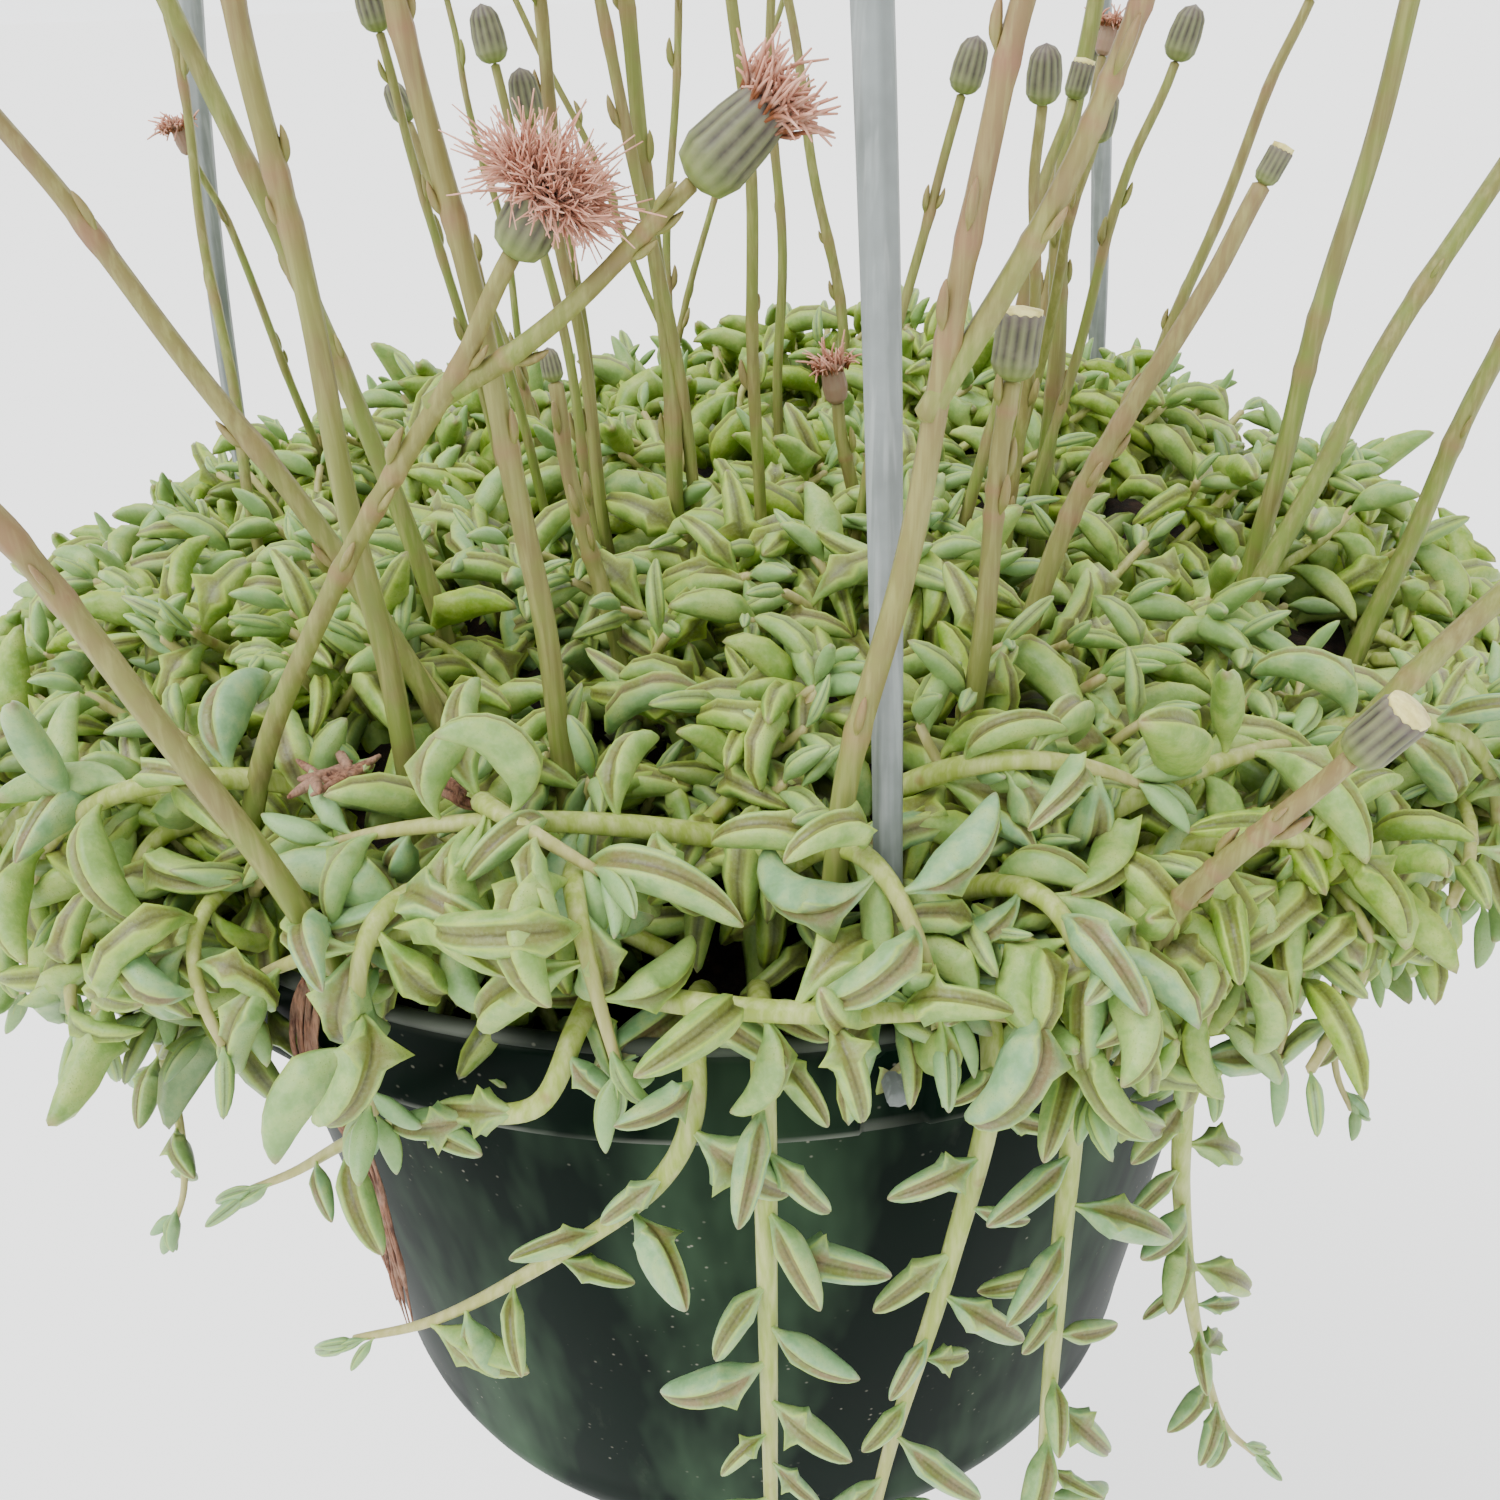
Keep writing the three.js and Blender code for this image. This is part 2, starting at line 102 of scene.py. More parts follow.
# Flower stalks in mm: root x, y, lean dx, dy, height above the rim, the height share and side reach
# of a fork, and the kind of head.
STALKS = [
    dict(x=-46, y=-98, dx=-10, dy=10, height=176, head="bud"),
    dict(x=-74, y=-98, dx=51, dy=-6, height=97, fork=0.8, side=21, rise=7, head="fluff"),
    dict(x=-54, y=-120, dx=-42, dy=-14, height=118, head="bud"),
    dict(x=-24, y=-95, dx=-12, dy=-2, height=158, head="fluff"),
    dict(x=11, y=-120, dx=22, dy=-2, height=130, fork=0.6, side=13, rise=-1, head="bud"),
    dict(x=31, y=-98, dx=6, dy=4, height=78, head="cut"),
    dict(x=38, y=-72, dx=34, dy=-4, height=98, head="cut"),
    dict(x=54, y=-122, dx=16, dy=-12, height=44, head="cut"),
    dict(x=88, y=-44, dx=20, dy=-6, height=168, head="bud"),
    dict(x=80, y=-57, dx=70, dy=22, height=140, head="fluff"),
    dict(x=108, y=-48, dx=38, dy=4, height=118, fork=0.6, side=12, rise=-1, head="bud"),
    dict(x=-18, y=-64, dx=-7, dy=4, height=72, head="bud"),
    dict(x=57, y=-22, dx=8, dy=4, height=184, fork=0.66, side=14, rise=-2, head="fluff"),
    dict(x=-44, y=-58, dx=-38, dy=2, height=158, head="spent"),
    dict(x=-40, y=-80, dx=-54, dy=4, height=118, head="bud"),
    dict(x=74, y=-100, dx=64, dy=-14, height=96, head="bud"),
    dict(x=-8, y=-28, dx=-8, dy=6, height=166, head="bud"),
    dict(x=26, y=-20, dx=-6, dy=-4, height=58, head="spent"),
]

# How big each kind of head is beside a full bud, and the smaller heads of stalks that were nipped.
HEAD_SCALES = {"bud": 0.85, "fluff": 0.82, "spent": 0.7, "cut": 0.72}
NIPPED = {7: 0.4, 12: 0.35}

# Shoots that lie over the front and side edges of the mound: azimuth, distance past the rim and
# height over it in mm, at the root, the bend and the tip.
EDGE_SHOOTS = [
    ((-5, 0, 8), (8, 8, 10), (24, 7, 4)),
    ((-1, -20, 20), (-14, -8, 29), (-26, -4, 24)),
    ((-13, -10, 14), (-22, 3, 15), (-31, 6, 4)),
    ((-33, -14, 24), (-40, 8, 28), (-48, 16, 6)),
    ((21, -10, 18), (31, -4, 27), (41, -3, 24)),
    ((26, -8, 12), (35, 8, 18), (42, 14, -4)),
    ((-11, -16, 16), (-9, 2, 24), (-7, 7, 2)),
    ((4, -16, 18), (8, 0, 26), (11, 7, 4)),
    ((15, -12, 12), (18, 5, 18), (20, 8, -8)),
    ((-19, -12, 14), (-21, 6, 18), (-22, 9, -10)),
    ((-40, -10, 16), (-47, 14, 22), (-52, 20, -14)),
    ((44, -10, 18), (50, 14, 22), (55, 20, -12)),
    ((-36, -16, 14), (-40, 4, 18), (-39, 10, -6)),
    ((31, -14, 10), (29, 6, 14), (27, 9, -10)),
    ((-18, -20, 22), (-15, -6, 32), (-8, -2, 26)),
    ((12, -22, 24), (18, -8, 34), (26, -4, 28)),
]


# ------------------------------------------------------------------------------- plain arithmetic


def linear(red, green, blue):
    """A colour given as display values from 0 to 255, as linear light with full alpha."""
    shown = np.array([red, green, blue]) / 255
    light = np.where(shown <= 0.04045, shown / 12.92, ((shown + 0.055) / 1.055) ** 2.4)
    return tuple(float(c) for c in light) + (1.0,)


def mix(a, b, share):
    """a where share is 0 and b where it is 1."""
    return a + (b - a) * share


def smooth(low, high, value):
    """Rises from 0 at low to 1 at high with no corner at either end."""
    share = np.clip((value - low) / (high - low), 0, 1)
    return share * share * (3 - 2 * share)


def unit(vectors):
    """The vectors at length 1."""
    return vectors / np.maximum(np.linalg.norm(vectors, axis=-1, keepdims=True), 1e-12)


def around(azimuth, radius, z):
    """Points at an azimuth in degrees from the front towards +X, a radius and a height over the rim."""
    angle = np.radians(azimuth)
    return np.stack(np.broadcast_arrays(radius * np.sin(angle), -radius * np.cos(angle), z + RIM_Z), -1)


def heading_at(angle):
    """The level direction at an angle in radians from the front towards +X."""
    return np.stack([np.sin(angle), -np.cos(angle), 0 * angle], -1)


def outward_at(points):
    """The level direction away from the pot's axis at each point."""
    return unit(points * [1, 1, 0])


def around_axis(points):
    """The level direction round the pot at each point."""
    outward = outward_at(points)
    return np.stack([-outward[:, 1], outward[:, 0], 0 * outward[:, 0]], -1)


def waves(points, length, seed, count=7):
    """Smooth random bumps, mostly between -1 and 1: sines in random directions, added up and divided by
    the root of their count."""
    rng = np.random.default_rng(seed)
    directions = unit(rng.normal(size=(count, 3))) * rng.uniform(0.6, 1.6, (count, 1))
    phases = rng.uniform(0, 2 * np.pi, count)
    turns = np.tensordot(points, directions.T, 1) * (2 * np.pi / length) + phases
    return np.sin(turns).sum(-1) / math.sqrt(count)


# --------------------------------------------------------------------------------- paths and grids


def smooth_path(points, count):
    """A centripetal Catmull-Rom curve through the points, as count points evenly spaced along it."""
    points = np.asarray(points, float)
    ends = np.concatenate([[2 * points[0] - points[1]], points, [2 * points[-1] - points[-2]]])
    t = np.linspace(0, 1, 24)[:, None]
    runs = []
    for p0, p1, p2, p3 in zip(ends, ends[1:], ends[2:], ends[3:]):
        d0, d1, d2 = (np.linalg.norm(b - a) ** 0.5 for a, b in ((p0, p1), (p1, p2), (p2, p3)))
        m1 = ((p1 - p0) / d0 - (p2 - p0) / (d0 + d1) + (p2 - p1) / d1) * d1
        m2 = ((p2 - p1) / d1 - (p3 - p1) / (d1 + d2) + (p3 - p2) / d2) * d1
        runs.append((2 * t**3 - 3 * t**2 + 1) * p1 + (t**3 - 2 * t**2 + t) * m1
                    + (3 * t**2 - 2 * t**3) * p2 + (t**3 - t**2) * m2)
    dense = np.concatenate([run[:-1] for run in runs] + [points[-1:]])
    walked = np.concatenate([[0], np.cumsum(np.linalg.norm(np.diff(dense, axis=0), axis=1))])
    even = np.linspace(0, walked[-1], count)
    return np.stack([np.interp(even, walked, dense[:, axis]) for axis in range(3)], -1)


def bezier(start, bend, end, count):
    """Quadratic curves from start to end pulled towards bend, as an array of paths."""
    t = np.linspace(0, 1, count)[:, None]
    start, bend, end = (p[..., None, :] for p in (start, bend, end))
    return (1 - t) ** 2 * start + 2 * t * (1 - t) * bend + t**2 * end


def path_frames(paths):
    """Tangent, side and normal along each path, carried along it with the least twist."""
    tangent = unit(np.gradient(paths, axis=-2))
    first = tangent[..., 0, :]
    helper = np.where(np.abs(first[..., 2:]) > 0.9, [1.0, 0.0, 0.0], [0.0, 0.0, 1.0])
    side = unit(np.cross(helper, first))
    sides = [side]
    for step in range(1, paths.shape[-2]):
        here = tangent[..., step, :]
        side = unit(side - here * (side * here).sum(-1, keepdims=True))
        sides.append(side)
    side = np.stack(sides, -2)
    return tangent, side, np.cross(tangent, side)


def stations(paths, shares):
    """Points or vectors along each path at the given shares of its samples."""
    place = np.asarray(shares) * (paths.shape[-2] - 1)
    low = np.clip(np.floor(place).astype(int), 0, paths.shape[-2] - 2)
    part = (place - low)[..., None]
    return paths[..., low, :] * (1 - part) + paths[..., low + 1, :] * part


def ring_faces(rings, sides):
    """Faces of a closed tube of rings, whose last two vertices are the poles at its ends."""
    ring, side = np.meshgrid(np.arange(rings - 1), np.arange(sides), indexing="ij")
    after = (side + 1) % sides
    quads = np.stack([ring * sides + side, ring * sides + after,
                      (ring + 1) * sides + after, (ring + 1) * sides + side], -1).reshape(-1, 4)
    side = np.arange(sides)
    after = (side + 1) % sides
    first, last = np.full(sides, rings * sides), np.full(sides, rings * sides + 1)
    tail = (rings - 1) * sides
    triangles = np.concatenate([np.stack([first, after, side], -1),
                                np.stack([last, tail + side, tail + after], -1)])
    return quads, triangles


def tubes(paths, radius, sides, ribs=0, rib_depth=0.0, round_end=0.6):
    """A round section carried along each path.

    The radius may change along the path, and is multiplied by one plus rib_depth times the cosine
    of ribs turns around it. A pole closes each end, the far one pushed out by round_end radii.
    """
    paths = paths if paths.ndim == 3 else paths[None]
    tangent, side, normal = path_frames(paths)
    radius = np.broadcast_to(radius, paths.shape[:-1])[..., None]
    angle = np.arange(sides) * 2 * np.pi / sides
    swell = 1 + rib_depth * np.cos(ribs * angle)
    across = (np.cos(angle) * swell)[:, None] * side[..., None, :]
    across = across + (np.sin(angle) * swell)[:, None] * normal[..., None, :]
    rings = paths[..., None, :] + radius[..., None] * across
    low = paths[:, :1] - tangent[:, :1] * radius[:, :1] * round_end
    high = paths[:, -1:] + tangent[:, -1:] * radius[:, -1:] * round_end
    return np.concatenate([rings.reshape(len(paths), -1, 3), low, high], 1)


def with_poles(values, low=0.0, high=0.0):
    """A value for each vertex of a ringed shape, with those of its two poles after them."""
    return np.concatenate([np.ravel(values), [low, high]])


class Surface:
    """Collects closed shapes and their point values, and makes one piece of them."""

    def __init__(self):
        self.blocks = []

    def add(self, vertices, quads, triangles, **values):
        """Adds copies of one shape: vertices is copies by points by 3, and each value fits it."""
        shape = vertices.shape[:-1]
        full = {name: np.broadcast_to(value, shape).ravel() for name, value in values.items()}
        self.blocks.append((vertices, quads, triangles, full))

    def add_tubes(self, paths, radius, sides, values=None, **shape):
        """Adds tubes with their values, and the share of its length at each vertex as along."""
        vertices = tubes(paths, radius, sides, **shape)
        rings = (vertices.shape[1] - 2) // sides
        along = with_poles(np.repeat(np.linspace(0, 1, rings), sides), 0, 1)
        self.add(vertices, *ring_faces(rings, sides), **{"along": along, **(values or {})})

    def add_turned(self, radius, z, azimuths, **values):
        """Adds a profile of radii and heights turned about the pot's axis, with a pole at each end."""
        rings = around(azimuths[None, :], radius, z).reshape(-1, 3)
        poles = [around(0.0, 0.0, z[end].mean()) for end in (0, -1)]
        vertices = np.concatenate([rings, poles])[None]
        self.add(vertices, *ring_faces(len(z), len(azimuths)), **values)

    def piece(self, name, finish, slot, *nodes):
        """Makes the mesh, gives it its finish, and hides the frame's parts that it stands for."""
        corners, sizes, points, offset = [], [], [], 0
        names = sorted({key for block in self.blocks for key in block[3]})
        values = {key: [] for key in names}
        for vertices, quads, triangles, full in self.blocks:
            copies, count = vertices.shape[:2]
            starts = offset + np.arange(copies)[:, None, None] * count
            for faces in (quads, triangles):
                if len(faces):
                    corners.append((faces[None] + starts).ravel())
                    sizes.append(np.full(len(faces) * copies, faces.shape[1]))
            points.append(vertices.reshape(-1, 3))
            for key in names:
                values[key].append(full.get(key, np.zeros(copies * count)))
            offset += copies * count
        corners, sizes, points = (np.concatenate(parts) for parts in (corners, sizes, points))
        mesh = bpy.data.meshes.new(name)
        mesh.vertices.add(len(points))
        mesh.vertices.foreach_set("co", points.astype(np.float32).ravel())
        mesh.loops.add(len(corners))
        mesh.loops.foreach_set("vertex_index", corners.astype(np.int32))
        mesh.polygons.add(len(sizes))
        starts = np.concatenate([[0], np.cumsum(sizes)[:-1]])
        mesh.polygons.foreach_set("loop_start", starts.astype(np.int32))
        mesh.polygons.foreach_set("loop_total", sizes.astype(np.int32))
        mesh.polygons.foreach_set("use_smooth", np.ones(len(sizes), bool))
        for key in names:
            layer = mesh.attributes.new(key, "FLOAT", "POINT")
            layer.data.foreach_set("value", np.concatenate(values[key]).astype(np.float32))
        mesh.update(calc_edges=True)
        if mesh.validate():
            raise RuntimeError(f"{name} has faces that can't be used")
        piece = bpy.data.objects.new(name, mesh)
        bpy.context.scene.collection.objects.link(piece)
        mesh.materials.append(finish)
        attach(piece, "root")
        if nodes:
            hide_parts(*nodes)
        return piece


# ------------------------------------------------------------------------------- shader expressions


class Value:
    """A socket of a material, whose operators add Math nodes."""

    def __init__(self, finish, socket):
        self.finish = finish
        self.socket = socket

    def math(self, operation, *terms):
        return self.finish.node("ShaderNodeMath", {"operation": operation}, dict(enumerate(terms)))

    def __add__(self, other):
        return self.math("ADD", self, other)

    def __sub__(self, other):
        return self.math("SUBTRACT", self, other)

    def __rsub__(self, other):
        return self.math("SUBTRACT", other, self)

    def __mul__(self, other):
        return self.math("MULTIPLY", self, other)

    __radd__ = __add__
    __rmul__ = __mul__

    def between(self, low, high):
        """0 below low, 1 above high, and even between them."""
        return self.finish.node("ShaderNodeMapRange", {"clamp": True},
                                {"Value": self, "From Min": low, "From Max": high})


class Finish:
    """A material with one Principled shader, built up by expressions."""

    def __init__(self, name, **constants):
        self.material = bpy.data.materials.new(name)
        self.material.use_nodes = True
        self.tree = self.material.node_tree
        self.shader = self.tree.nodes["Principled BSDF"]
        for socket, value in constants.items():
            self.shader.inputs[socket.replace("_", " ")].default_value = value

    def node(self, kind, settings=None, sockets=None, output=0):
        """Adds a node, sets its options and then its sockets, and returns one of its outputs."""
        node = self.tree.nodes.new(kind)
        for option, value in (settings or {}).items():
            if option == "stops":
                while len(node.color_ramp.elements) < len(value):
                    node.color_ramp.elements.new(0.5)
                for stop, (place, colour) in zip(node.color_ramp.elements, value):
                    stop.position, stop.color = place, colour
            else:
                setattr(node, option, value)
        for key, value in (sockets or {}).items():
            self.join(node.inputs[key], value)
        return Value(self, node.outputs[output])

    def join(self, socket, value):
        """Links a socket to a Value, or sets it to a constant."""
        if isinstance(value, Value):
            self.tree.links.new(value.socket, socket)
        else:
            socket.default_value = value

    def feed(self, **sockets):
        """Joins values to the shader's sockets."""
        for key, value in sockets.items():
            self.join(self.shader.inputs[key.replace("_", " ")], value)

    def place(self):
        """Object coordinates."""
        return self.node("ShaderNodeTexCoord", output="Object")

    def attribute(self, name):
        """One of the mesh's point values."""
        return self.node("ShaderNodeAttribute", {"attribute_name": name}, output="Fac")

    def stretched(self, x, y, z):
        """Object coordinates scaled along each axis, for grain that runs one way."""
        return self.node("ShaderNodeMapping", {}, {"Vector": self.place(), "Scale": (x, y, z)})

    def noise(self, scale, detail, roughness=0.55, place=None):
        """Cloudy noise, around 0.5."""
        return self.node("ShaderNodeTexNoise", {}, {"Vector": place or self.place(), "Scale": scale,
                                                    "Detail": detail, "Roughness": roughness})

    def specks(self, scale):
        """Distance to the nearest of many scattered points, 0 at each point."""
        return self.node("ShaderNodeTexVoronoi", {}, {"Vector": self.place(), "Scale": scale})

    def blend(self, share, first, second):
        """first where share is 0 and second where it is 1, as colours."""
        return self.node("ShaderNodeMix", {"data_type": "RGBA"}, {0: share, 6: first, 7: second}, 2)

    def ramp(self, share, *stops):
        """A colour ramp with a place and a colour for each stop."""
        return self.node("ShaderNodeValToRGB", {"stops": stops}, {"Fac": share})

    def bump(self, height, distance, strength):
        """Raises the surface by up to the distance in metres where the height is 1."""
        self.feed(Normal=self.node("ShaderNodeBump", {}, {"Height": height, "Distance": distance,
                                                          "Strength": strength}))


# ---------------------------------------------------------------------------------------- finishes


def pot_finish(settings):
    """Dark moulded plastic: soft blotches, pale streaks of painted reflection and scuffs that run up and
    down, dust specks, and light edges of painted highlight."""
    finish = Finish("pot_plastic", IOR=1.46, Specular_IOR_Level=0.02)
    worn = finish.attribute("worn")
    cloud = finish.noise(14, 4, 0.6)
    streak = finish.noise(26, 4, 0.6, finish.stretched(1, 1, 0.3))
    dust = 1 - finish.specks(420).between(0.06, 0.16)
    dust = dust * finish.noise(40, 2).between(0.52, 0.66)
    scuff = finish.noise(190, 5, 0.7, finish.stretched(1, 1, 0.35)).between(0.6, 0.72)
    scuff = scuff * cloud.between(0.45, 0.7)
    colour = finish.blend(cloud.between(0.3, 0.7), tuple(settings.colour), linear(4, 20, 12))
    # painted reflection: pale upright streaks stand in for blurred reflections in the glossy plastic
    colour = finish.blend(streak.between(0.5, 0.72) * 0.36, colour, linear(84, 114, 84))
    colour = finish.blend(scuff * 0.25, colour, linear(96, 100, 88))
    colour = finish.blend(dust * 0.5, colour, linear(170, 166, 150))
    # painted highlight: lightens the rolled lip and the collar's foot
    colour = finish.blend(worn * 0.75, colour, linear(132, 136, 126))
    finish.feed(Base_Color=colour, Roughness=0.34 + cloud * 0.2 + scuff * 0.2 + dust * 0.3)
    finish.bump(cloud * 0.4 + streak * 0.3 + scuff * 0.2 + dust * 0.4, 0.0003, 0.5)
    return finish.material


def hanger_finish(settings):
    """Grey moulded plastic with fine lengthwise lines, raised in its bump and lightened as painted highlight,
    and a little grime.
    """
    finish = Finish("hanger_plastic", IOR=1.46)
    grime = finish.noise(70, 4, 0.6)
    lines = finish.noise(900, 2, 0.5, finish.stretched(1, 1, 0.02))
    colour = finish.blend(grime.between(0.35, 0.7), tuple(settings.colour), linear(104, 110, 108))
    # painted highlight: the fine lengthwise lines are lightened to stand in for light along the rod
    colour = finish.blend(lines.between(0.5, 0.7) * 0.4, colour, linear(168, 174, 172))
    finish.feed(Base_Color=colour, Roughness=0.36 + grime * 0.25)
    finish.bump(lines, 0.0001, 0.5)
    return finish.material


def leaf_finish(settings):
    """Fleshy leaf: green sides, some of them waxy and bluish, with pale patches of painted highlight, an
    olive face that browns in patches, with a dark line down its middle, yellow-green ridges, a pale foot, a
    brown tip and fine stippling."""
    finish = Finish("fleshy_leaf", IOR=1.42, Subsurface_Weight=0.1, Subsurface_Scale=0.0015,
                    Subsurface_Radius=(0.4, 1.0, 0.3))
    face, ridge, along, tint, shade, young = (
        finish.attribute(name) for name in ("face", "ridge", "along", "tint", "shade", "young"))
    patch = finish.noise(260, 3, 0.6)
    grain = finish.noise(1700, 2, 0.6)
    stipple = (1 - finish.specks(2600).between(0.12, 0.3)) * patch.between(0.4, 0.62)
    side = finish.blend(tint.between(0, 0.6), tuple(settings.leaf_green), tuple(settings.leaf_waxy))
    side = finish.blend(tint.between(0.6, 1) * 0.8, side, linear(114, 156, 118))
    # painted highlight: random patches of the sides are lightened to pale yellow-green
    side = finish.blend(patch.between(0.45, 0.75) * 0.5, side, linear(188, 196, 112))
    side = finish.blend((1 - patch.between(0.25, 0.5)) * 0.5, side, linear(70, 112, 34))
    side = finish.blend(young * 0.6, side, linear(128, 166, 112))
    top = finish.blend(patch.between(0.35, 0.7), tuple(settings.leaf_face), linear(88, 112, 30))
    top = finish.blend(tint * patch.between(0.35, 0.6) * 0.8, top, linear(122, 90, 68))
    colour = finish.blend(face.between(0.02, 0.3) * (0.9 - young * 0.7), side, top)
    colour = finish.blend(face.between(0.66, 0.98) * 0.6, colour, linear(54, 46, 20))
    colour = finish.blend(ridge.between(0.5, 1.0) * 0.55, colour, tuple(settings.leaf_ridge))
    colour = finish.blend((1 - along.between(0.0, 0.16)) * 0.7, colour, linear(166, 184, 82))
    colour = finish.blend(along.between(0.93, 1.0) * 0.6, colour, linear(140, 106, 88))
    colour = finish.blend(stipple * 0.3, colour, linear(62, 86, 30))
    colour = finish.blend(grain.between(0.45, 0.75) * 0.12, colour, linear(180, 198, 150))
    # painted shade: leaves deep in the mound are darkened towards near-black green
    colour = finish.blend(shade * 0.8, colour, linear(26, 44, 8))
    finish.feed(Base_Color=colour, Roughness=0.38 - face * 0.06 + patch * 0.14)
    finish.bump(grain * 0.5 + stipple * 0.3 + patch * 0.4, 0.00025, 0.5)
    return finish.material


def stem_finish(settings):
    """Pale yellow-green stem with upright streaks, brown leaf scars and a tan young end."""
    finish = Finish("pale_stem", IOR=1.42, Subsurface_Weight=0.08, Subsurface_Scale=0.0012,
                    Subsurface_Radius=(0.6, 1.0, 0.3))
    along, shade = finish.attribute("along"), finish.attribute("shade")
    streak = finish.noise(700, 3, 0.6, finish.stretched(1, 1, 0.12))
    patch = finish.noise(150, 3)
    scar = (1 - finish.specks(170).between(0.1, 0.2)) * patch.between(0.4, 0.55)
    colour = finish.blend(streak.between(0.4, 0.7), tuple(settings.stem_colour), linear(178, 184, 116))
    colour = finish.blend(patch.between(0.5, 0.75) * 0.4, colour, linear(130, 150, 50))
    colour = finish.blend(along.between(0.45, 1.0) * 0.5, colour, linear(176, 148, 116))
    colour = finish.blend(scar * 0.5, colour, linear(132, 96, 66))
    # painted shade: stems deep in the mound are darkened
    colour = finish.blend(shade * 0.75, colour, linear(60, 70, 34))
    finish.feed(Base_Color=colour, Roughness=0.42 + patch * 0.2)
    finish.bump(streak, 0.00015, 0.5)
    return finish.material


def stalk_finish(settings):
    """Olive flower stalk, brown towards its top, with green and tan streaks, pale streaks of painted
    highlight and pinkish joints.
    """
    finish = Finish("flower_stalk", IOR=1.42, Subsurface_Weight=0.05, Subsurface_Scale=0.001)
    along, joint, tint = (finish.attribute(name) for name in ("along", "joint", "tint"))
    streak = finish.noise(900, 3, 0.6, finish.stretched(1, 1, 0.06))
    patch = finish.noise(120, 3)
    colour = finish.blend(along.between(0.1, 0.8), tuple(settings.stalk_low), tuple(settings.stalk_high))
    colour = finish.blend(tint * 0.7, colour, linear(100, 126, 40))
    colour = finish.blend(patch.between(0.45, 0.65) * 0.5, colour, linear(118, 92, 66))
    # painted highlight: pale lengthwise streaks, which also give the fine bump
    colour = finish.blend(streak.between(0.45, 0.7) * 0.5, colour, linear(158, 156, 96))
    colour = finish.blend(joint * 0.35, colour, linear(142, 84, 76))
    finish.feed(Base_Color=colour, Roughness=0.5 + patch * 0.15)
    finish.bump(streak, 0.00015, 0.6)
    return finish.material


def head_finish(settings):
    """Flower head: green cup with darker stripes, tan to pink-brown fluff, and cream cut faces."""
    finish = Finish("flower_head", IOR=1.42, Subsurface_Weight=0.06, Subsurface_Scale=0.001)
    rib, fluff, cut, along, dry = (
        finish.attribute(name) for name in ("rib", "fluff", "cut", "along", "dry"))
    patch = finish.noise(420, 3, 0.6)
    cup = finish.blend(rib, tuple(settings.cup_dark), tuple(settings.cup_light))
    cup = finish.blend((1 - along.between(0.05, 0.4)) * 0.7, cup, linear(116, 134, 58))
    cup = finish.blend(along.between(0.75, 1.0) * 0.5, cup, linear(96, 78, 84))
    cup = finish.blend(dry, cup, linear(132, 104, 84))
    cup = finish.blend(patch.between(0.4, 0.75) * 0.35, cup, linear(134, 132, 102))
    hair = finish.blend(along.between(0.3, 1.0), linear(112, 62, 30), tuple(settings.fluff_colour))
    hair = finish.blend(patch.between(0.45, 0.7) * 0.6, hair, linear(220, 180, 160))
    pith = finish.blend(patch.between(0.4, 0.65), linear(226, 216, 140), linear(186, 172, 96))
    colour = finish.blend(fluff, cup, hair)
    colour = finish.blend(cut, colour, pith)
    finish.feed(Base_Color=colour, Roughness=0.55 + fluff * 0.3)
    finish.bump(patch, 0.0002, 0.5)
    return finish.material


def soil_finish(name="soil_mix", shade=0.0):
    """Dark peat with brown bark bits and pale grains, darkened by shade."""
    finish = Finish(name, Specular_IOR_Level=0.25)
    coarse = finish.noise(240, 6, 0.7)
    bits = finish.specks(330)
    grain = (1 - finish.specks(900).between(0.08, 0.2)) * coarse.between(0.5, 0.62)
    colour = finish.ramp(coarse, (0.3, linear(18, 12, 8)), (0.5, linear(44, 29, 19)),
                         (0.72, linear(92, 62, 42)))
    colour = finish.blend((1 - bits.between(0.1, 0.35)) * 0.4, colour, linear(108, 74, 50))
    colour = finish.blend(grain * 0.6, colour, linear(170, 150, 120))
    if shade:
        colour = finish.blend(shade, colour, linear(10, 9, 5))
    finish.feed(Base_Color=colour, Roughness=0.85 + grain * 0.1)
    finish.bump(coarse + bits * 0.5, 0.002, 0.8)
    return finish.material


def bark_finish(settings):
    """Dry torn bark: long fibres in red-brown, tan and grey."""
    finish = Finish("dry_bark", Specular_IOR_Level=0.3)
    fibre = finish.noise(1500, 4, 0.65, finish.stretched(1, 1, 0.05))
    patch = finish.noise(180, 4)
    colour = finish.blend(fibre.between(0.35, 0.65), linear(70, 42, 32), tuple(settings.bark_colour))
    colour = finish.blend(patch.between(0.45, 0.7) * 0.6, colour, linear(172, 142, 120))
    finish.feed(Base_Color=colour, Roughness=0.8 + patch * 0.1)
    finish.bump(fibre, 0.0005, 0.9)
    return finish.material


# ------------------------------------------------------------------------------------------- leaves

# The leaf's section at full width, as side and height shares, from its right ridge over the narrow
# sunken face to the left ridge, and round the full side and the keel.
PLAIN_SECTION = np.array([(0.5, 0.74), (0, 0.54), (-0.5, 0.74), (-1.0, 0.0), (-0.7, -0.8), (0, -1.15),
                          (0.7, -0.8), (1.0, 0.0)])
FINE_SECTION = np.array([(0.5, 0.76), (0.36, 0.62), (0.18, 0.57), (0, 0.48), (-0.18, 0.57), (-0.36, 0.62),
                         (-0.5, 0.76), (-0.82, 0.5), (-1.0, 0.0), (-0.86, -0.56), (-0.47, -1.0),
                         (0, -1.15), (0.47, -1.0), (0.86, -0.56), (1.0, 0.0), (0.82, 0.5)])
PLAIN_RINGS = np.array([0.012, 0.11, 0.21, 0.3, 0.37, 0.46, 0.64, 0.82, 0.95])
FINE_RINGS = np.array([0.01, 0.06, 0.12, 0.18, 0.24, 0.29, 0.33, 0.37, 0.41, 0.46, 0.54, 0.63, 0.72, 0.81,
                       0.89, 0.95, 0.985])
